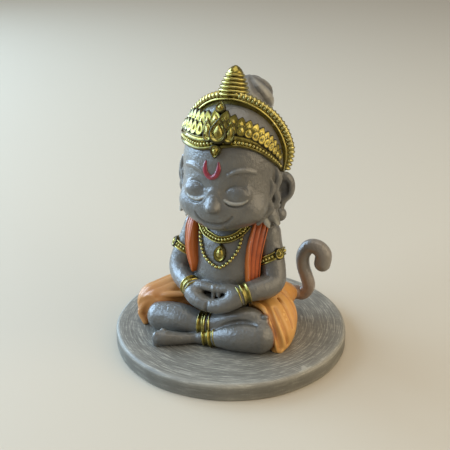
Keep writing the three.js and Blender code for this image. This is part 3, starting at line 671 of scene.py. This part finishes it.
smile = on_face(1, [(-6.2, 46.9), (-4.6, 45), (-2.4, 44), (0, 43.8), (2.4, 44), (4.6, 45), (6.2, 46.9)], 0)
lower_lip = on_face(1, [(-2.6, 42.7), (0, 42.2), (2.6, 42.7)], 0.1)
lashes, lid_lines, brows = ([on_face(side, spots, sink) for side in (-1, 1)] for spots, sink in (
    ([(3.6, 52), (5, 51.2), (6.9, 50.9), (8.8, 51.2), (10.2, 52)], 0),
    ([(3.6, 54.8), (5, 55.9), (7, 56.4), (9, 55.9), (10.4, 54.6)], 0),
    ([(4.2, 59.7), (6.4, 60.8), (9, 61), (11.4, 60.1)], 0.15)))
head_clay.roll(lower_lip, [[0.3, 0.4], [0.7, 0.7], [0.3, 0.4]], blend=1.4)
smile_end = [[0.2, 0.3], [0.4, 0.45], [0.45, 0.5]]
head_clay.roll(smile, smile_end + [[0.5, 0.5]] + smile_end[::-1], blend=0.5, press=True)
# Painted shade goes in the smile and in the ear hollows; the lashes, brows and tuft tips are painted pale, as
# rubbed wear and as painted highlight.
crease_clay, ridge_clay = (Clay((-19, -21, 38), (20, 0, 63), 0.28) for _ in range(2))
crease_clay.roll(smile, [0.1] + [0.22] * 5 + [0.1])
for lash, lid_line, brow in zip(lashes, lid_lines, brows):
    head_clay.roll(lid_line, [[0.15, 0.2], [0.3, 0.3], [0.3, 0.35], [0.3, 0.3], [0.15, 0.2]], blend=0.7,
                   press=True)
    head_clay.roll([[x, y, z - 0.8] for x, y, z in lash],
                   [[0.1, 0.1], [0.25, 0.3], [0.3, 0.35], [0.25, 0.3], [0.1, 0.1]], blend=0.6, press=True)
    head_clay.roll(lash, [[0.25, 0.25], [0.45, 0.42], [0.5, 0.48], [0.45, 0.42], [0.25, 0.25]], blend=0.3)
    head_clay.roll(brow, [[0.5, 0.4], [0.8, 0.7], [0.8, 0.7], [0.4, 0.4]], blend=0.6)
    ridge_clay.roll(lash, [0.2, 0.4, 0.4, 0.4, 0.2])
    ridge_clay.roll(brow, [0.2, 0.5, 0.5, 0.2])
fur_locks = (
    ([[15.6, -3.4, 60], [16.4, -2.6, 56], [15.6, -3.6, 52.5], [16.3, -3, 49.5], [15, -4.2, 46.5]],
     [[0.5, 0.6], [1.3, 1.2], [1.2, 1.1], [1.4, 1.2], [0.8, 0.8]]),
    ([[14.6, -5.6, 57], [15.2, -5, 53.5], [14.3, -6.2, 50], [14.9, -5.6, 47], [13.4, -6.8, 44]],
     [[0.4, 0.5], [1.1, 1], [1.1, 1], [1.2, 1.1], [0.8, 0.7]]),
    ([[13.4, -7.6, 53], [13.8, -7.4, 50], [12.9, -8.2, 47], [13.2, -7.8, 44.4], [11.8, -8.4, 42]],
     [[0.3, 0.4], [0.9, 0.8], [1, 0.9], [1, 0.9], [0.6, 0.6]]),
    ([[15.2, -2.6, 52], [15.6, -2.4, 50.2], [15.2, -2.6, 48.6]], [[1, 1], [1.7, 1.5], [1, 1]]),
    ([[15.2, -2.8, 48.4], [15.7, -2.6, 46.8], [15.2, -2.8, 45.4]], [[1, 1], [1.6, 1.4], [1, 1]]),
    ([[13.2, -5, 47.4], [15.2, -4.2, 44.2], [17, -3.6, 41]], [[1, 0.9], [2.2, 1.5], [0.9, 0.6]]),
    ([[12, -5.8, 45.6], [13.6, -5.4, 42.4], [14.4, -5.2, 40]], [[1, 0.8], [1.5, 1.1], [0.5, 0.4]]),
)
jaw_height = 42
hollow_clay = Clay((-21, -5, 44), (22, 5, 58), 0.35)
for side in (-1, 1):
    for lock, sizes in fur_locks:
        line = [[mid + side * x, y, z] for x, y, z in lock]
        head_clay.roll(line, sizes, up=(side, -0.5, 0), blend=0.25)
        if line[-1][2] < jaw_height:
            ridge_clay.roll([[x, y - 0.4, z] for x, y, z in line], [[0.3, 0.3], [1, 0.9], [0.5, 0.4]])
    ear_turn = side * 26
    head_clay.egg((mid + side * 16.9, 2, 51.6), (3.6, 2.2, 5.2), turn=ear_turn, blend=0.5)
    head_clay.egg((mid + side * 17.6, -0.7, 51.9), (2.6, 1.9, 3.9), turn=ear_turn, blend=0.6, press=True)
    head_clay.roll([[mid + side * 16.8, 1.6, 48], [mid + side * 16.4, 1.2, 46], [mid + side * 16.2, 0.8, 44]],
                   [[1.5, 1.3], [1.3, 1.2], [1, 1]], up=(0, 1, 0), blend=0.8)
    head_clay.egg((mid + side * 16.1, 0.4, 42.6), (2.35, 2.35, 2.35), blend=0.2)
    hollow_clay.egg((mid + side * 17.2, 0.6, 51.4), (1.6, 1.2, 2.8))
head = head_clay.cast("head", resin_varnish)
tint_near(head, hollow_clay, 1.8, "shade")
tint_near(head, crease_clay, 0.5, "shade")
tint_near(head, ridge_clay, 0.4, "wear_and_painted_light")
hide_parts("seated_figure")
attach(head, "root")

# Forehead mark
# A U raised on the forehead of the casting, thicker at its foot. It is picked out by hand in glossy red
# enamel.
def red_enamel():
    """Glossy enamel dabbed on with a small brush."""
    look = Finish("red_gloss_enamel")
    dabs = look.noise(900.0)
    return look.done({"Roughness": 0.3, "IOR": 1.5, "Coat Weight": 0.6, "Coat Roughness": 0.08},
                     {"Base Color": look.ramp(dabs, (0.35, "#6E1020"), (0.6, "#8E1A30")),
                      "Normal": look.bump(dabs, 0.3, 0.0001)})


mark_line = on_face(1, [(-3.2, 63.3), (-3.4, 61.4), (-2.7, 59.4), (-1.1, 58.5), (0.4, 59.4), (1.2, 61.4),
                        (1.1, 63.3)], 0)
mark_end = [[0.35, 0.4], [0.75, 0.62], [0.85, 0.7]]
mark_clay = Clay((-5.2, -20, 56), (4.6, -10, 66), 0.14)
mark_clay.roll(mark_line, mark_end + [[0.75, 0.7]] + mark_end[::-1], up=(0, -1, 0.3))
mark = mark_clay.cast("forehead_mark", red_enamel())
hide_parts("seated_figure")
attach(mark, "root")

# Hair knot
# The hair is wound into a round knot behind the spire, cast with the head in the same grey resin. Its strands
# are left as grooves with painted shade in them, and their ridges are painted pale as rubbed wear and as
# painted highlight.
knot_centre = np.array([0, 17, 75.3])
knot_radii = np.array([8.1, 8.1, 7.6])


def wound_strands(x, y, z):
    """Relief of strands that wind round the knot, sharp in the valleys between them."""
    return 0.9 * (np.abs(np.cos(3.5 * np.arctan2(y, x) + 2.6 * z)) - 0.7) * np.sqrt(np.clip(1 - z * z, 0, 1))


knot_clay = Clay((-11, 6, 63), (11, 28, 86), 0.28)
knot_clay.egg(knot_centre, knot_radii, relief=wound_strands)
knot_clay.roll([[-6, 12, 68.5], [0, 16.5, 67.6], [6, 12, 68.5]], [[2.6, 2.2], [3, 2.6], [2.6, 2.2]])
knot = knot_clay.cast("hair_knot", resin_varnish)
strand_height = wound_strands(*((places_of(knot) - knot_centre) / knot_radii).T)
# Painted highlight and rubbed wear on the strand ridges, painted shade in the valleys between them.
tint(knot, "wear_and_painted_light", 0.7 * np.clip(strand_height / 0.2, 0, 1))
tint(knot, "shade", 0.5 * np.clip(-strand_height / 0.4, 0, 1))
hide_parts("seated_figure")
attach(knot, "root")

# Crown
# A deep diadem cast with the head and painted metallic gold. From its lower edge up it has a plain roll, a
# row of beads, two smooth ridges and two rows of lotus petals, with a drop-shaped medallion over the brow.
def gold_paint():
    """Metallic gold paint: a pale painted highlight on what stands proud, and olive brown painted shade in
    the grooves.
    """
    look = Finish("metallic_gold_paint")
    # Painted shade: olive brown in the grooves, which are also rougher.
    groove_shade = look.span(look.bend(), 0.498, 0.42)
    colour = look.ramp(look.noise(420.0, 4.0, 0.65), (0.32, "#6E611C"), (0.5, "#8F802E"), (0.7, "#B2A554"))
    colour = look.over(colour, groove_shade, "#302A08")
    # Painted highlight: pale on what stands proud.
    colour = look.over(colour, look.span(look.bend(), 0.53, 0.64), "#BFB576")
    return look.done({"Metallic": 1.0, "Coat Weight": 0.5, "Coat Roughness": 0.12},
                     {"Base Color": colour, "Roughness": look.span(groove_shade, 0.0, 1.0, 0.24, 0.5),
                      "Normal": look.bump(look.noise(1500.0, 2.0), 0.3, 0.0001)})


def on_egg(egg, bearing, height, lift=0.0):
    """Places on an egg round the skull's centre, by bearing and height, and the ways they face."""
    bearing, height = np.radians(bearing), np.asarray(height, float)
    share = np.sqrt(np.maximum(1 - ((height - skull_centre[2]) / egg[2]) ** 2, 0.01))
    off = np.stack(np.broadcast_arrays(egg[0] * share * np.sin(bearing), -egg[1] * share * np.cos(bearing),
                                       height - skull_centre[2]), axis=-1)
    face = off / egg ** 2
    face /= np.linalg.norm(face, axis=-1, keepdims=True)
    return skull_centre + off + face * np.asarray(lift, float)[..., None], face


def swept(rows, ring=False):
    """Faces over rows of corners, each row anticlockwise seen against the way the rows run. Open ends are
    capped."""
    count, around = rows.shape[:2]
    number = np.arange(count * around).reshape(count, around)
    ahead = np.roll(number, -1, 0) if ring else number[1:]
    here = number if ring else number[:-1]
    quads = np.stack([here, np.roll(here, -1, 1), np.roll(ahead, -1, 1), ahead], axis=-1).reshape(-1, 4)
    caps = [] if ring else [number[0, ::-1].tolist(), number[-1].tolist()]
    return rows.reshape(-1, 3), quads.tolist() + caps


def drop_shape(sharpness, profile, around=16):
    """A drop one unit in reach, its tip along +Y. The profile gives the height of its face at shares of the
    way from its middle to its edge."""
    turn = np.linspace(0, 2 * np.pi, around, endpoint=False)
    side = np.sin(turn) * np.abs(np.sin(turn / 2)) ** sharpness
    edge = np.stack([side / np.abs(side).max(), np.cos(turn)], axis=1)
    back = [(1.0, -0.5), (0.0, -0.5)]
    return swept(np.stack([np.column_stack([edge * max(share, 1e-3), np.full(around, height)])[::-1]
                           for share, height in profile + back]))


def placed(shape, centre, outward, upward, size):
    """A shape scaled, turned so that its face looks outward and its tip upward, and put at a place."""
    places, faces = shape
    z = np.array(outward, float) / np.linalg.norm(outward)
    x = np.cross(upward, z)
    x /= np.linalg.norm(x)
    return np.array(centre) + (places * size) @ np.array([x, np.cross(z, x), z]), faces


def joined(shapes):
    """Several shapes as one."""
    faces, start = [], 0
    for places, sides in shapes:
        faces += [[corner + start for corner in side] for side in sides]
        start += len(places)
    return np.vstack([places for places, _ in shapes]), faces


def along_tree():
    """A tree that sets a copy of a shape on each point, facing the way outward says, its side along ahead."""
    tree = bpy.data.node_groups.new("shapes_on_points", "GeometryNodeTree")
    for name, kind in (("Points", "Geometry"), ("Shape", "Object"), ("Finish", "Material")):
        tree.interface.new_socket(name, in_out="INPUT", socket_type="NodeSocket" + kind)
    tree.interface.new_socket("Shapes", in_out="OUTPUT", socket_type="NodeSocketGeometry")

    def add(kind, links=None, **settings):
        return add_node(tree, kind, links=links, **settings).outputs

    given = add("NodeGroupInput")
    outward, ahead, size = (
        add_node(tree, "GeometryNodeInputNamedAttribute", {"Name": name}, data_type="FLOAT_VECTOR").outputs[0]
        for name in ("outward", "ahead", "size"))
    facing = add("FunctionNodeAlignRotationToVector", {"Vector": outward}, axis="Z")[0]
    turned_on = add("FunctionNodeAlignRotationToVector", {"Rotation": facing, "Vector": ahead}, axis="X",
                    pivot_axis="Z")[0]
    shape = add("GeometryNodeObjectInfo", {"Object": given["Shape"]})["Geometry"]
    copies = add("GeometryNodeInstanceOnPoints", {"Points": given["Points"], "Instance": shape,
                                                  "Rotation": turned_on, "Scale": size})[0]
    real = add("GeometryNodeRealizeInstances", {"Geometry": copies})[0]
    finished = add("GeometryNodeSetMaterial", {"Geometry": real, "Material": given["Finish"]})[0]
    add("NodeGroupOutput", {"Shapes": finished})
    return tree


def set_along(name, line, outward, size, shape, pitch, finish):
    """A piece made of copies of one shape, a pitch apart along a line in drawn millimetres."""
    line, outward = np.asarray(line, float), np.asarray(outward, float)
    size, pitch = np.broadcast_to(size, line.shape), np.broadcast_to(pitch, len(line))
    steps = np.linalg.norm(np.diff(line, axis=0), axis=1)
    passed = np.concatenate([[0], np.cumsum(2 * steps / (pitch[1:] + pitch[:-1]))])
    count, order = int(round(passed[-1])), np.arange(len(line))
    spots = np.interp((np.arange(count) + 0.5) * passed[-1] / count, passed, order)
    values = [np.stack([np.interp(spots, order, column) for column in rows.T], axis=1)
              for rows in (line * mm + [0, 0, seat], outward, np.gradient(line, axis=0), size * mm)]
    path_mesh = bpy.data.meshes.new(name + "_path")
    path_mesh.from_pydata(values[0].tolist(), [], [])
    for title, rows in zip(("outward", "ahead", "size"), values[1:]):
        named = path_mesh.attributes.new(title, "FLOAT_VECTOR", "POINT")
        named.data.foreach_set("vector", np.ascontiguousarray(rows, np.float32).ravel())
    path = put(name + "_path", path_mesh)
    one = to_mesh(name + "_one", *shape, finish)
    maker = path.modifiers.new("along", "NODES")
    maker.node_group = shapes_along
    sockets = {item.name: item.identifier for item in shapes_along.interface.items_tree
               if item.in_out == "INPUT"}
    maker[sockets["Shape"]] = one
    maker[sockets["Finish"]] = finish
    bpy.context.view_layer.update()
    mesh = bpy.data.meshes.new_from_object(path.evaluated_get(bpy.context.evaluated_depsgraph_get()))
    mesh.name = name
    mesh.polygons.foreach_set("use_smooth", [True] * len(mesh.polygons))
    for helper in (path, one):
        bpy.data.objects.remove(helper)
    return put(name, mesh)


gold = gold_paint()
shapes_along = along_tree()
bead_shape = turned([(math.sin(a), -math.cos(a)) for a in np.linspace(0, np.pi, 7)], 8)
petal_shape = drop_shape(0.6, [(0, 1), (0.3, 0.75), (0.62, 0.35), (0.82, 0.62), (0.95, 0.5)])
medal_shape = drop_shape(0.9, [(0, 1.0), (0.22, 0.95), (0.42, 0.72), (0.53, 0.3), (0.62, 0.25), (0.72, 0.6),
                               (0.82, 0.72), (0.93, 0.55)], around=40)
crown_egg = np.array([17.2, 17.4, 26])
crown_ends = 81
full_height = 10.0
petal_pitch = 2.7


def crown_edges(bearing):
    """The heights of the crown's lower edge and of its petals' tips. The figure's right side stays level, as
    cast, and the left side comes down to the ear."""
    share = np.minimum(np.abs(bearing) / crown_ends, 1)
    right_low = 66 + 1.4 * np.exp(-(bearing / 14) ** 2)
    left_low = 57.8 + 9.6 * (1 - share ** 2.6) + 1.3 * np.sin(np.pi * np.minimum(1.25 * share, 1))
    low = np.where(bearing < 0, right_low, left_low)
    fall = share ** np.where(bearing < 0, 7, 2.6)
    tip = 58.4 + 19.2 * (1 - fall) ** 0.6 + 1.5 * np.exp(-(bearing / 16) ** 2)
    return low, np.maximum(tip, low + 0.6)


wall_profile = [
    (0, -0.2), (0.02, 0.45), (0.055, 0.65), (0.09, 0.5), (0.11, 0.05), (0.17, 0), (0.225, 0.05), (0.24, 0.5),
    (0.265, 0.62), (0.29, 0.5), (0.305, 0.15), (0.33, 0.5), (0.355, 0.62), (0.385, 0.45), (0.4, 0.0),
    (0.5, -0.1), (0.7, -0.15), (0.88, -0.2), (0.92, -0.5), (0.92, -1.4), (0.6, -1.7), (0.3, -1.9),
    (0.04, -1.7),
]
wall_bearing = np.linspace(-crown_ends, crown_ends, 241)
low_edge, tip_edge = crown_edges(wall_bearing)
wall_rows = np.stack([on_egg(crown_egg, wall_bearing, low_edge + v * (tip_edge - low_edge), lift)[0]
                      for v, lift in wall_profile], axis=1)
crown_shapes = [swept(wall_rows)]
for height, bearing, lean, size in ((72.7, 2, 0, (2.95, 4.2, 1.7)), (66.9, 0.5, 180, (1.8, 2.3, 1.2)),
                                    (78.9, -1, 0, (1.7, 2.1, 1.1)), (72.4, 15, 12, (1.8, 3.7, 1.1)),
                                    (72.4, -11, -12, (1.8, 3.7, 1.1))):
    spot, face = on_egg(crown_egg, bearing, height, 0.5)
    leaning = math.radians(lean)
    upward = np.array([math.sin(leaning) * math.cos(math.radians(bearing)), 0, math.cos(leaning)])
    crown_shapes.append(placed(medal_shape, spot, face, upward, size))
crown = drawn("crown", joined(crown_shapes), gold)


def crown_row(name, way_up, shape, pitch, shrink, size, lift, ends=77):
    """A row of copies along the crown, at a share of the way up it. They shrink and close up to its ends, and
    are as tall as size says where the crown has its full height."""
    bearing = np.linspace(-ends, ends, 181)
    low, tip = crown_edges(bearing)
    line, face = on_egg(crown_egg, bearing, low + way_up * (tip - low), lift)
    small = 1 - shrink * np.abs(bearing / ends) ** 1.6
    tall = (tip - low) / full_height if shrink else small
    sizes = np.array(size) * np.stack([small, tall, small ** 0.5], axis=1)
    return set_along(name, line, face, sizes, shape, pitch * small, gold)


crown_beads = crown_row("crown_beads", 0.168, bead_shape, 1.2, 0, (0.6, 0.6, 0.6), 0.15)
tall_petals = crown_row("crown_tall_petals", 0.7, petal_shape, petal_pitch, 0.4, (2.1, 3.4, 1.05), 0.0)
short_petals = crown_row("crown_short_petals", 0.55, petal_shape, petal_pitch, 0.4, (1.7, 2.1, 0.95), 0.55,
                         ends=75)
for piece in (crown, crown_beads, tall_petals, short_petals):
    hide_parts("seated_figure")
    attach(piece, "root")

# Arch
# A gold hoop that runs over the head behind the crown, ear to ear: a thin smooth rim in front, a groove, and
# a roll behind it that is modelled like a twisted rope.
arch_ends = 96
arch_angle = np.linspace(-arch_ends, arch_ends, 241)
swing, lie = np.sin(np.radians(arch_angle)), np.cos(np.radians(arch_angle))
arch_fade = np.clip((arch_ends + 6 - np.abs(arch_angle)) / np.where(arch_angle < 0, 50, 28), 0, 1)
arch_fade = arch_fade * arch_fade * (3 - 2 * arch_fade)
arch_front = 1.9 - 5.2 * np.maximum(lie, 0) ** 3


def arch_points(lift, depth):
    """A line along the arch, lifted off the skull and set back from its front."""
    lift = lift * arch_fade * (1 + 0.2 * swing ** 2)
    return np.stack([skull_centre[0] + (skull[0] + lift) * swing, arch_front + depth,
                     skull_centre[2] + (skull[2] + lift) * lie], axis=1)


arch_section = [(-1.2, 0.3), (0.5, 0.0), (0.95, -0.15), (1.3, 0.0), (1.35, 0.45), (1.3, 0.9), (1.7, 1.3),
                (2.6, 1.3), (2.9, 2.3), (2.6, 3.4), (1.6, 4.1), (0, 4.2), (-1.2, 4.1)]
arch_rows = np.stack([arch_points(lift, depth) for lift, depth in reversed(arch_section)], axis=1)
arch = drawn("arch", swept(arch_rows), gold)
lump_shape = (bead_shape[0] @ np.array([[1, 0.0, 0], [0.55, 1, 0], [0, 0, 1]]), bead_shape[1])
arch_outward = np.stack([swing, np.zeros_like(swing), lie], axis=1)
arch_lumps = set_along("arch_rope_lumps", arch_points(1.75, 2.3), arch_outward, (0.8, 1.75, 1.55), lump_shape,
                       1.42, gold)
for piece in (arch, arch_lumps):
    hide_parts("seated_figure")
    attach(piece, "root")

# Spire
# The gold finial on top of the head, cast and painted with the crown: rounded rings, each smaller than the
# one below, under a plain cone.
spire_height, spire_radius, spire_rings, spire_lean, spire_sink = 9.8, 5.25, 6, 12, 2.5
ring_rise = spire_height * 0.75 / spire_rings
spire_profile = [(0, -spire_sink), (spire_radius * 0.6, -spire_sink)]
for ring in range(spire_rings):
    girth = spire_radius * (1 - 0.48 * ((ring + 0.3) / spire_rings) ** 1.6)
    for turn in np.radians([-72, -45, -15, 15, 45, 72]):
        spire_profile.append((girth - ring_rise * 0.75 * (1 - math.cos(turn)),
                              ring_rise * (ring + 0.5 + 0.5 * math.sin(turn) / math.sin(math.radians(80)))))
cone = [(0.5, 0.755), (0.48, 0.79), (0.38, 0.87), (0.22, 0.95), (0.08, 0.992)]
spire_profile += [(spire_radius * share, spire_height * height) for share, height in cone]
spire_places, spire_faces = turned(spire_profile + [(0, spire_height)], 48)
spire_foot = np.array([0, 1.8, drawn_height - spire_height * math.cos(math.radians(spire_lean))])
spire_turn = np.array(Matrix.Rotation(-math.radians(spire_lean), 3, "X"))
spire = drawn("spire", (spire_places @ spire_turn.T + spire_foot, spire_faces), gold)
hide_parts("seated_figure")
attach(spire, "root")

# Sash
# A narrow cloth cast round the neck: it hangs in front of each shoulder and loops across the back. It is
# painted matt orange, with painted shade in the creases along it and painted highlight on its ridges.
sash_points = smooth_rows([
    [-9.7, -8.6, 21.6, 0.5], [-10.5, -8.5, 24.8, 1.6], [-11.8, -7.4, 28.8, 2.1], [-12.2, -6.4, 32.5, 2.1],
    [-12.3, -4.2, 37, 2.1], [-11.5, -0.6, 40, 2.1], [-11.2, 3.6, 37.8, 2.1], [-8.2, 8.6, 33.6, 2.1],
    [0, 10.8, 31.2, 2.1], [8.2, 8.6, 33.6, 2.1], [10.8, 3.6, 38, 2.2], [11.2, -0.6, 40.4, 2.4],
    [11.4, -3.8, 38.2, 2.5], [11, -6.6, 33, 2.5], [10.8, -7.8, 28, 2.35], [10.9, -8.3, 24.4, 2.2],
    [10.9, -8.6, 21.3, 2.1],
], 0.4)
sash_line, sash_half = sash_points[:, :3], sash_points[:, 3:]
sash_depth = 3.0
hem_place, hem_width = 0.9, 0.1
slope = trunk_clay.slope(sash_line)
for _ in range(12):
    slope[1:-1] = 0.5 * slope[1:-1] + 0.25 * (slope[:-2] + slope[2:])
slope /= np.linalg.norm(slope, axis=1)[:, None]
_, sash_aside, sash_above = frames_along(sash_line, slope)
sash_across = np.linspace(-1, 1, 41)
sash_run = np.linspace(0, 1, len(sash_line))[:, None]
sash_creases = 0.3 * np.abs(np.sin(np.pi * 1.5 * (sash_across + 0.12 * np.sin(9 * sash_run)))) ** 0.5
sash_hems = 0.3 * np.exp(-((np.abs(sash_across) - hem_place) / hem_width) ** 2)
sash_top = 0.3 + sash_creases + sash_hems + 0.3 * (1 - sash_across ** 2) ** 0.5
sash_sides = (sash_half * sash_across)[:, :, None] * sash_aside[:, None] + sash_line[:, None]
sash_face = sash_sides + sash_top[:, :, None] * sash_above[:, None]
sash_back = sash_sides - sash_depth * sash_above[:, None]
sash_rows = np.concatenate([sash_face[:, ::-1], sash_back[:, ::8]], axis=1)[:, ::-1]
sash = drawn("sash", swept(sash_rows),
             painted_cloth("orange_matt_paint", ("#7C3208", "#A4480E", "#BE621E"), "#3A1806", 0.01))
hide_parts("seated_figure")
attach(sash, "root")

# Collar, bead string and pendant
# Gold jewellery cast on the chest and painted with the crown: a rimmed collar under the chin, a string of
# beads, and a drop in a rim.
def on_chest(points, lift):
    """A smooth line through the points, laid on the bare trunk, and the ways it faces."""
    line = smooth_rows(points, 0.3)
    for _ in range(3):
        face = trunk_clay.slope(line)
        line = line - face * (trunk_clay.at(line) - lift)[:, None]
    return line, face / np.linalg.norm(face, axis=1)[:, None]


def band(line, face, outline, ring=False):
    """A band of one outline along a line. The outline gives places across it and above it, anticlockwise."""
    ahead = np.roll(line, -1, 0) - np.roll(line, 1, 0) if ring else np.gradient(line, axis=0)
    aside = np.cross(ahead, face)
    aside /= np.linalg.norm(aside, axis=1)[:, None]
    outline = np.array(outline, float)[None, ::-1]
    return swept(line[:, None] + outline[..., :1] * aside[:, None] + outline[..., 1:] * face[:, None], ring)


def rimmed(width, rise, rim=0.36):
    """The outline of a band with a round rim along each edge and a face that dips between them."""
    half, dip = width / 2, 0.3 * rise
    right = [(half, rise * 0.5), (half - rim * 0.3, rise * 0.9), (half - rim * 0.75, rise),
             (half - rim * 1.4, rise * 0.85), (half - rim * 1.8, dip * 1.6)]
    return [(-half, -1.2), (half, -1.2)] + right + [(0, dip)] + [(-x, y) for x, y in reversed(right)]


collar_line, collar_face = on_chest([
    [-8.6, -4.6, 38], [-6.2, -6.9, 35.8], [-3.8, -8.1, 35.1], [-1.2, -8.9, 34.6], [1.5, -8.7, 34.9],
    [3.9, -7.7, 35.7], [5.8, -6.2, 37], [7.6, -4.4, 39.2]], 0.3)
collar = drawn("collar", band(collar_line, collar_face, rimmed(2.5, 1.0)), gold)
collar_beads = set_along("collar_beads", collar_line + 0.45 * collar_face, collar_face, (0.5, 0.6, 0.55),
                         bead_shape, 1.05, gold)
string_line, string_face = on_chest([
    [-9.1, -4.6, 37.6], [-7.8, -7.5, 33.1], [-6.2, -9.5, 29.6], [-3.9, -10.9, 27.5], [-0.5, -11.9, 26.1],
    [1.1, -11.8, 26.4], [3.5, -10.9, 28.3], [4.6, -10.2, 29.8], [5.9, -8.7, 32.4], [6.4, -5.9, 37],
    [6.8, -4.8, 39.2]], 0.4)
bead_string = set_along("bead_string", string_line, string_face, (0.7, 0.68, 0.7), bead_shape, 1.36, gold)
shield_shape = drop_shape(0.3, [(0, 1.0), (0.3, 0.9), (0.5, 0.6), (0.6, 0.3), (0.7, 0.35), (0.8, 0.7),
                                (0.93, 0.5)], around=36)
pendant_line, pendant_face = on_chest([[0.1, -12, 31], [0.1, -12, 29.8]], 0.4)
pendant = drawn("pendant", placed(shield_shape, pendant_line[0], pendant_face[0], (0, 0, 1), (2.2, 3.1, 1.2)),
                gold)
for piece in (collar, collar_beads, bead_string, pendant):
    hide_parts("seated_figure")
    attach(piece, "root")

# Armlets, bracelets and anklets
# Gold bands cast round the limbs. The armlets are beaded and carry a plaque, and the bracelets and anklets
# are pairs of smooth bands with a thin round rim along each edge.
band_facets = 64


def round_limb(points, sizes, up, way, outline, tilt=(0, 0, 0)):
    """A band round a limb at a share of its length, drawn up the limb where it faces as tilt does, and the
    line of its middle with the ways it faces."""
    rows = smooth_rows(np.hstack([points, sizes]), 0.5)
    ahead, aside, above = frames_along(rows[:, :3], up)
    length = np.concatenate([[0], np.cumsum(np.linalg.norm(np.diff(rows[:, :3], axis=0), axis=1))])
    i = int(np.searchsorted(length, way * length[-1]))
    turn = np.linspace(0, 2 * np.pi, band_facets, endpoint=False)[:, None]
    line = rows[i, :3] + aside[i] * np.cos(turn) * rows[i, 3] + above[i] * np.sin(turn) * rows[i, 4]
    face = aside[i] * np.cos(turn) / rows[i, 3] + above[i] * np.sin(turn) / rows[i, 4]
    face /= np.linalg.norm(face, axis=1)[:, None]
    line = line - (face @ np.array(tilt, float))[:, None] * ahead[i]
    return band(line, face, outline, ring=True), line, face


sideways = (1, 0, 0)
bands = []
for arm, armlet_way, plaque_way, tilt in zip(arms, (0.262, 0.245), ((-1, -0.6, 0), (1.25, -1, 0)),
                                             ((0, 0, 0), (1.3, 0.3, 0))):
    shape, line, face = round_limb(arm, arm_sizes, sideways, armlet_way, rimmed(2.7, 0.85), tilt)
    bands.append(shape)
    closed_line, closed_face = np.vstack([line, line[:1]]), np.vstack([face, face[:1]])
    beads = set_along("armlet_beads_" + "lr"[int(arm[0][0] < 0)], closed_line + 0.35 * closed_face,
                      closed_face, (0.5, 0.6, 0.6), bead_shape, 1.1, gold)
    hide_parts("seated_figure")
    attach(beads, "root")
    front = np.argmax(face @ np.array(plaque_way))
    bands.append(placed(shield_shape, line[front] + 0.3 * face[front], face[front], (0, 0, 1),
                        (1.9, 2.1, 1.3)))
    for way, width in ((0.878, 2.5), (0.925, 2)):
        bands.append(round_limb(arm, arm_sizes, sideways, way, rimmed(width, 0.75, rim=0.3))[0])
for points, sizes, ways, width in ((right_shin, right_shin_sizes, (0.82, 0.91), 2.9),
                                   (left_shin, left_shin_sizes, (0.77, 0.895), 2.5)):
    for way in ways:
        bands.append(round_limb(points, sizes, (0, 0, 1), way, rimmed(width, 0.8))[0])
limb_bands = drawn("limb_bands", joined(bands), gold)
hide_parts("seated_figure")
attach(limb_bands, "root")

# Floor, light and camera
# A plain pale table top, a bright soft window low on the figure's right with a lesser one beside it, a weak
# ceiling, and the warm room on the other side. The camera looks down on the face from the figure's left.
floor_half = 8.0
table_finish = Finish("plain_pale_top").done({"Base Color": paint("#BDB29F"), "Roughness": 0.7})
floor_corners = [(floor_half * x, floor_half * y, 0) for x, y in ((-1, -1), (1, -1), (1, 1), (-1, 1))]
floor = to_mesh("table_top", floor_corners, [(0, 1, 2, 3)], table_finish)

view_azimuth = math.radians(21)
view_pitch = math.radians(23.749)
view_distance = 6.993 * base_radius
aim_right = -0.05054 * base_radius
aim_height = 1.0567 * base_radius
figure_middle = Vector((0, 0, 1.2 * base_radius))
view_right = Vector((math.cos(view_azimuth), math.sin(view_azimuth), 0))
view_back = Vector((math.sin(view_azimuth) * math.cos(view_pitch),
                    -math.cos(view_azimuth) * math.cos(view_pitch), math.sin(view_pitch)))

for name, place, size, power, colour in (
        ("window", (-0.64, 0.04, 0.28), (0.7, 0.5), 9.6, (0.5, 0.73, 1.0)),
        ("window_side", view_right * -0.55 + Vector((0, -0.25, 0.42)), (0.35, 0.5), 2.4, (0.55, 0.76, 1.0)),
        ("ceiling", (0.05, 0.05, 0.9), (0.7, 0.7), 2.6, (1.0, 0.94, 0.84)),
        ("room", (0.56, -0.02, 0.3), (0.6, 0.6), 2.4, (1.0, 0.83, 0.57))):
    light = bpy.data.lights.new(name, "AREA")
    light.shape = "RECTANGLE"
    light.size, light.size_y = size
    light.energy = power
    light.color = colour
    lamp = put(name, light)
    lamp.location = place
    lamp.rotation_euler = (figure_middle - Vector(place)).to_track_quat("-Z", "Y").to_euler()

world = bpy.data.worlds.new("soft_room")
bpy.context.scene.world = world
world.use_nodes = True
world.node_tree.nodes["Background"].inputs["Color"].default_value = (0.97, 0.94, 0.88, 1)
world.node_tree.nodes["Background"].inputs["Strength"].default_value = 0.4
bpy.context.scene.view_settings.view_transform = "Standard"

camera = put("camera", bpy.data.cameras.new("camera"))
camera.data.lens = 67.2
camera.data.sensor_width = 36
camera.data.clip_start = 0.01
camera.location = view_right * aim_right + Vector((0, 0, aim_height)) + view_back * view_distance
camera.rotation_euler = view_back.to_track_quat("Z", "Y").to_euler()
bpy.context.scene.camera = camera
